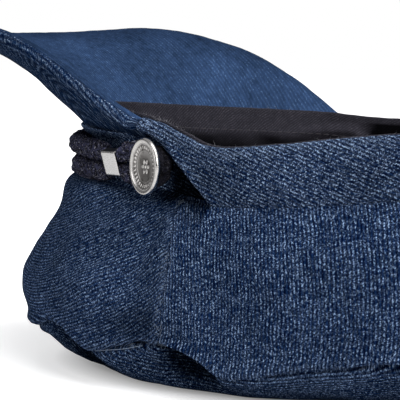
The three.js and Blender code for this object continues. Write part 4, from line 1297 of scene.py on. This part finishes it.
# Buttons
# A dished nickel-plated button with a rolled rim stands on a sewn shank at either side of the
# band. A ring of short bars and a six-petalled rosette are struck into its face.
BUTTON_ANGLE, BUTTON_UP, BUTTON_OUT, BUTTON_TURN, BUTTON_RADIUS = 64.4, 58.2, 5.2, 12, 7.5
SHANK_RADIUS, SHANK_DEPTH, SHANK_ROWS = 1.1, 8.7, 6
BUTTON_BARS = 30
BUTTON_RELIEF = 0.16
BUTTON_COLUMNS = 180

# Radius as a share of the button's, and depth behind its rim, from the face's middle round
# the rolled rim to the shank
BUTTON_PROFILE = np.array([
    [0, 1.0], [0.25, 0.97], [0.45, 0.85], [0.63, 0.6], [0.78, 0.35], [0.86, 0.1], [0.9, 0.02],
    [0.945, 0.03], [0.975, 0.2], [1.0, 0.6], [0.985, 1.15], [0.9, 1.6], [0.65, 1.95], [0.4, 2.15],
    [0.22, 2.35], [SHANK_RADIUS / BUTTON_RADIUS, 2.7],
])


def button_relief(radius, turn):
    """Height of the struck relief: a ring of short radial bars between two fine rings, and six
    petals round a centre dot."""
    bars = np.clip(np.cos(BUTTON_BARS * turn) * 2.5 - 0.4, 0, 1)
    bars = bars * ease((radius - 0.6) / 0.04) * ease((0.75 - radius) / 0.04)
    rings = bell(radius - 0.55, 0.014) + bell(radius - 0.8, 0.014)
    petal_edge = 0.1 + 0.2 * np.abs(np.cos(3 * turn)) ** 0.8
    petals = ease((petal_edge - radius) / 0.05) * ease((radius - 0.1) / 0.03)
    vein = 1 - 0.7 * bell(np.sin(3 * turn - math.pi / 2), 0.1) * (radius < 0.34)
    centre = ease((0.08 - radius) / 0.03)
    return bars + 0.5 * rings + petals * vein + centre


def button_points(side):
    """The profile turned round the shank, with the relief raised on its face. Rows run from
    the face's middle to the shank's sewn end."""
    turn = np.linspace(0, 2 * math.pi, BUTTON_COLUMNS, endpoint=False)[None, :]
    knots = np.arange(len(BUTTON_PROFILE), dtype=float)
    marks = [np.linspace(0.02, 5, 64), np.linspace(5, 11, 34)[1:], np.linspace(11, 15, 12)[1:]]
    marks = np.concatenate(marks)
    radius = through(knots, BUTTON_PROFILE[:, 0], marks)[:, None]
    depth = through(knots, BUTTON_PROFILE[:, 1], marks)[:, None]
    raised = button_relief(radius, turn) * (marks < 6)[:, None]
    shank = np.zeros((SHANK_ROWS, BUTTON_COLUMNS))
    shank_depth = np.linspace(2.9, SHANK_DEPTH, SHANK_ROWS)[:, None]
    radius = np.concatenate([radius + 0 * turn, shank + SHANK_RADIUS / BUTTON_RADIUS])
    depth = np.concatenate([depth - BUTTON_RELIEF * raised, shank + shank_depth])
    raised = np.concatenate([raised, shank])
    sideways, up, out = facing(side, BUTTON_ANGLE, BUTTON_TURN)
    points = (BUTTON_RADIUS * radius * np.cos(turn))[..., None] * sideways + (
        BUTTON_RADIUS * radius * np.sin(turn))[..., None] * up - depth[..., None] * out
    tarnish = (0.7 + 0.28 * ease((0.5 - radius) / 0.4)) * (1 - raised) * ease((0.84 - radius) / 0.1)
    tarnish *= (radius < 0.83) & (depth < 1.3)
    return points + place(side * BUTTON_ANGLE, BUTTON_OUT, BUTTON_UP), np.clip(tarnish, 0, 1)


button_nickel = metal("button_nickel", (0.74, 0.72, 0.7), (0.07, 0.062, 0.058), 0.15, 0.4)
for side, side_name in SIDES:
    points, tarnish = button_points(side)
    rows, columns = points.shape[:2]
    ends = [np.arange(columns)[None, ::-1], (np.arange(columns) + (rows - 1) * columns)[None]]
    faces = [quads(rows, columns, round_columns=True), *ends]
    button = make_piece("nickel_button_" + side_name, points, faces, tarnish=tarnish)
    finish_piece(button, button_nickel, "polished_steel", "button_" + side_name)

# Loose fibres and thread
# Worn cotton fibres stand up along the rim, most over the right button, and along the right temple
# seam and the crown's lower seam. One pale thread end lies along that seam at the right.
RIM_FIBRES = 240
BUTTON_FIBRES = 60
random = np.random.default_rng(81)
angles = random.uniform(-175, 175, RIM_FIBRES)
angles[:BUTTON_FIBRES] = random.normal(64, 4, BUTTON_FIBRES)
roots = place(angles, -SWEATBAND_OUT - 0.4 + random.uniform(-0.4, 0.5, RIM_FIBRES),
              rim(angles) + SWEATBAND_RISE + 0.3)
ways = np.concatenate([outward(angles) * random.uniform(-1, 1.2, (RIM_FIBRES, 1)),
                       random.uniform(0.2, 1, (RIM_FIBRES, 1))], -1)
ways = unit(ways + random.normal(0, 0.5, (RIM_FIBRES, 3)))
lengths = random.uniform(0.4, 1.5, RIM_FIBRES)
rim_fibres = loose_fibres("rim_fibres", roots, ways, lengths, 0.03, 0.9, 82)
finish_piece(rim_fibres, thread_cotton("loose_cotton", (0.3, 0.3, 0.33)), "sweatband_cotton")

SEAM_FIBRES = 500
angles = random.uniform(0, 360, SEAM_FIBRES)
alongs = random.uniform(3.7, 3.98, SEAM_FIBRES)
at_temple = random.random(SEAM_FIBRES) < 0.3
alongs = np.where(at_temple, random.uniform(0.1, 3.9, SEAM_FIBRES), alongs)
temple_angles = seam_angle(np.full(SEAM_FIBRES, TEMPLE_SEAM), alongs) + random.normal(0, 0.6, SEAM_FIBRES)
angles = np.where(at_temple, temple_angles, angles)
out, up, n_out, n_up = crown_section(angles, alongs)
roots = place(angles, out, up)
normals = np.concatenate([outward(angles) * n_out[:, None], n_up[:, None]], -1)
ways = 0.35 * normals + random.normal(0, 1, (SEAM_FIBRES, 3))
ways = unit(ways + normals * np.maximum(0.1 - np.sum(ways * normals, 1), 0)[:, None])
lengths = random.uniform(0.6, 1.9, SEAM_FIBRES)
seam_fibres = loose_fibres("seam_fibres", roots, ways, lengths, 0.035, 0.7, 83)
finish_piece(seam_fibres, thread_cotton("seam_cotton", (0.28, 0.34, 0.44)), "denim")

THREAD_POINTS = 26
share = np.linspace(0, 1, THREAD_POINTS)
thread_angle = 58.6 + 9.9 * share
thread_along = 3.93 - 0.03 * np.sin(7 * share) - 0.05 * share**4
out, up, n_out, n_up = crown_section(thread_angle, thread_along)
lift = 0.35 + 0.5 * share**3
thread_path = place(thread_angle, out + lift * n_out, up + lift * n_up)
points, faces = tubes(thread_path[None], 0.07, 6, np.array([0.3, 0.2, 0.9]))
loose_thread = make_piece("loose_thread", points, faces)
finish_piece(loose_thread, thread_cotton("pale_thread", (0.2, 0.25, 0.34)), "denim")
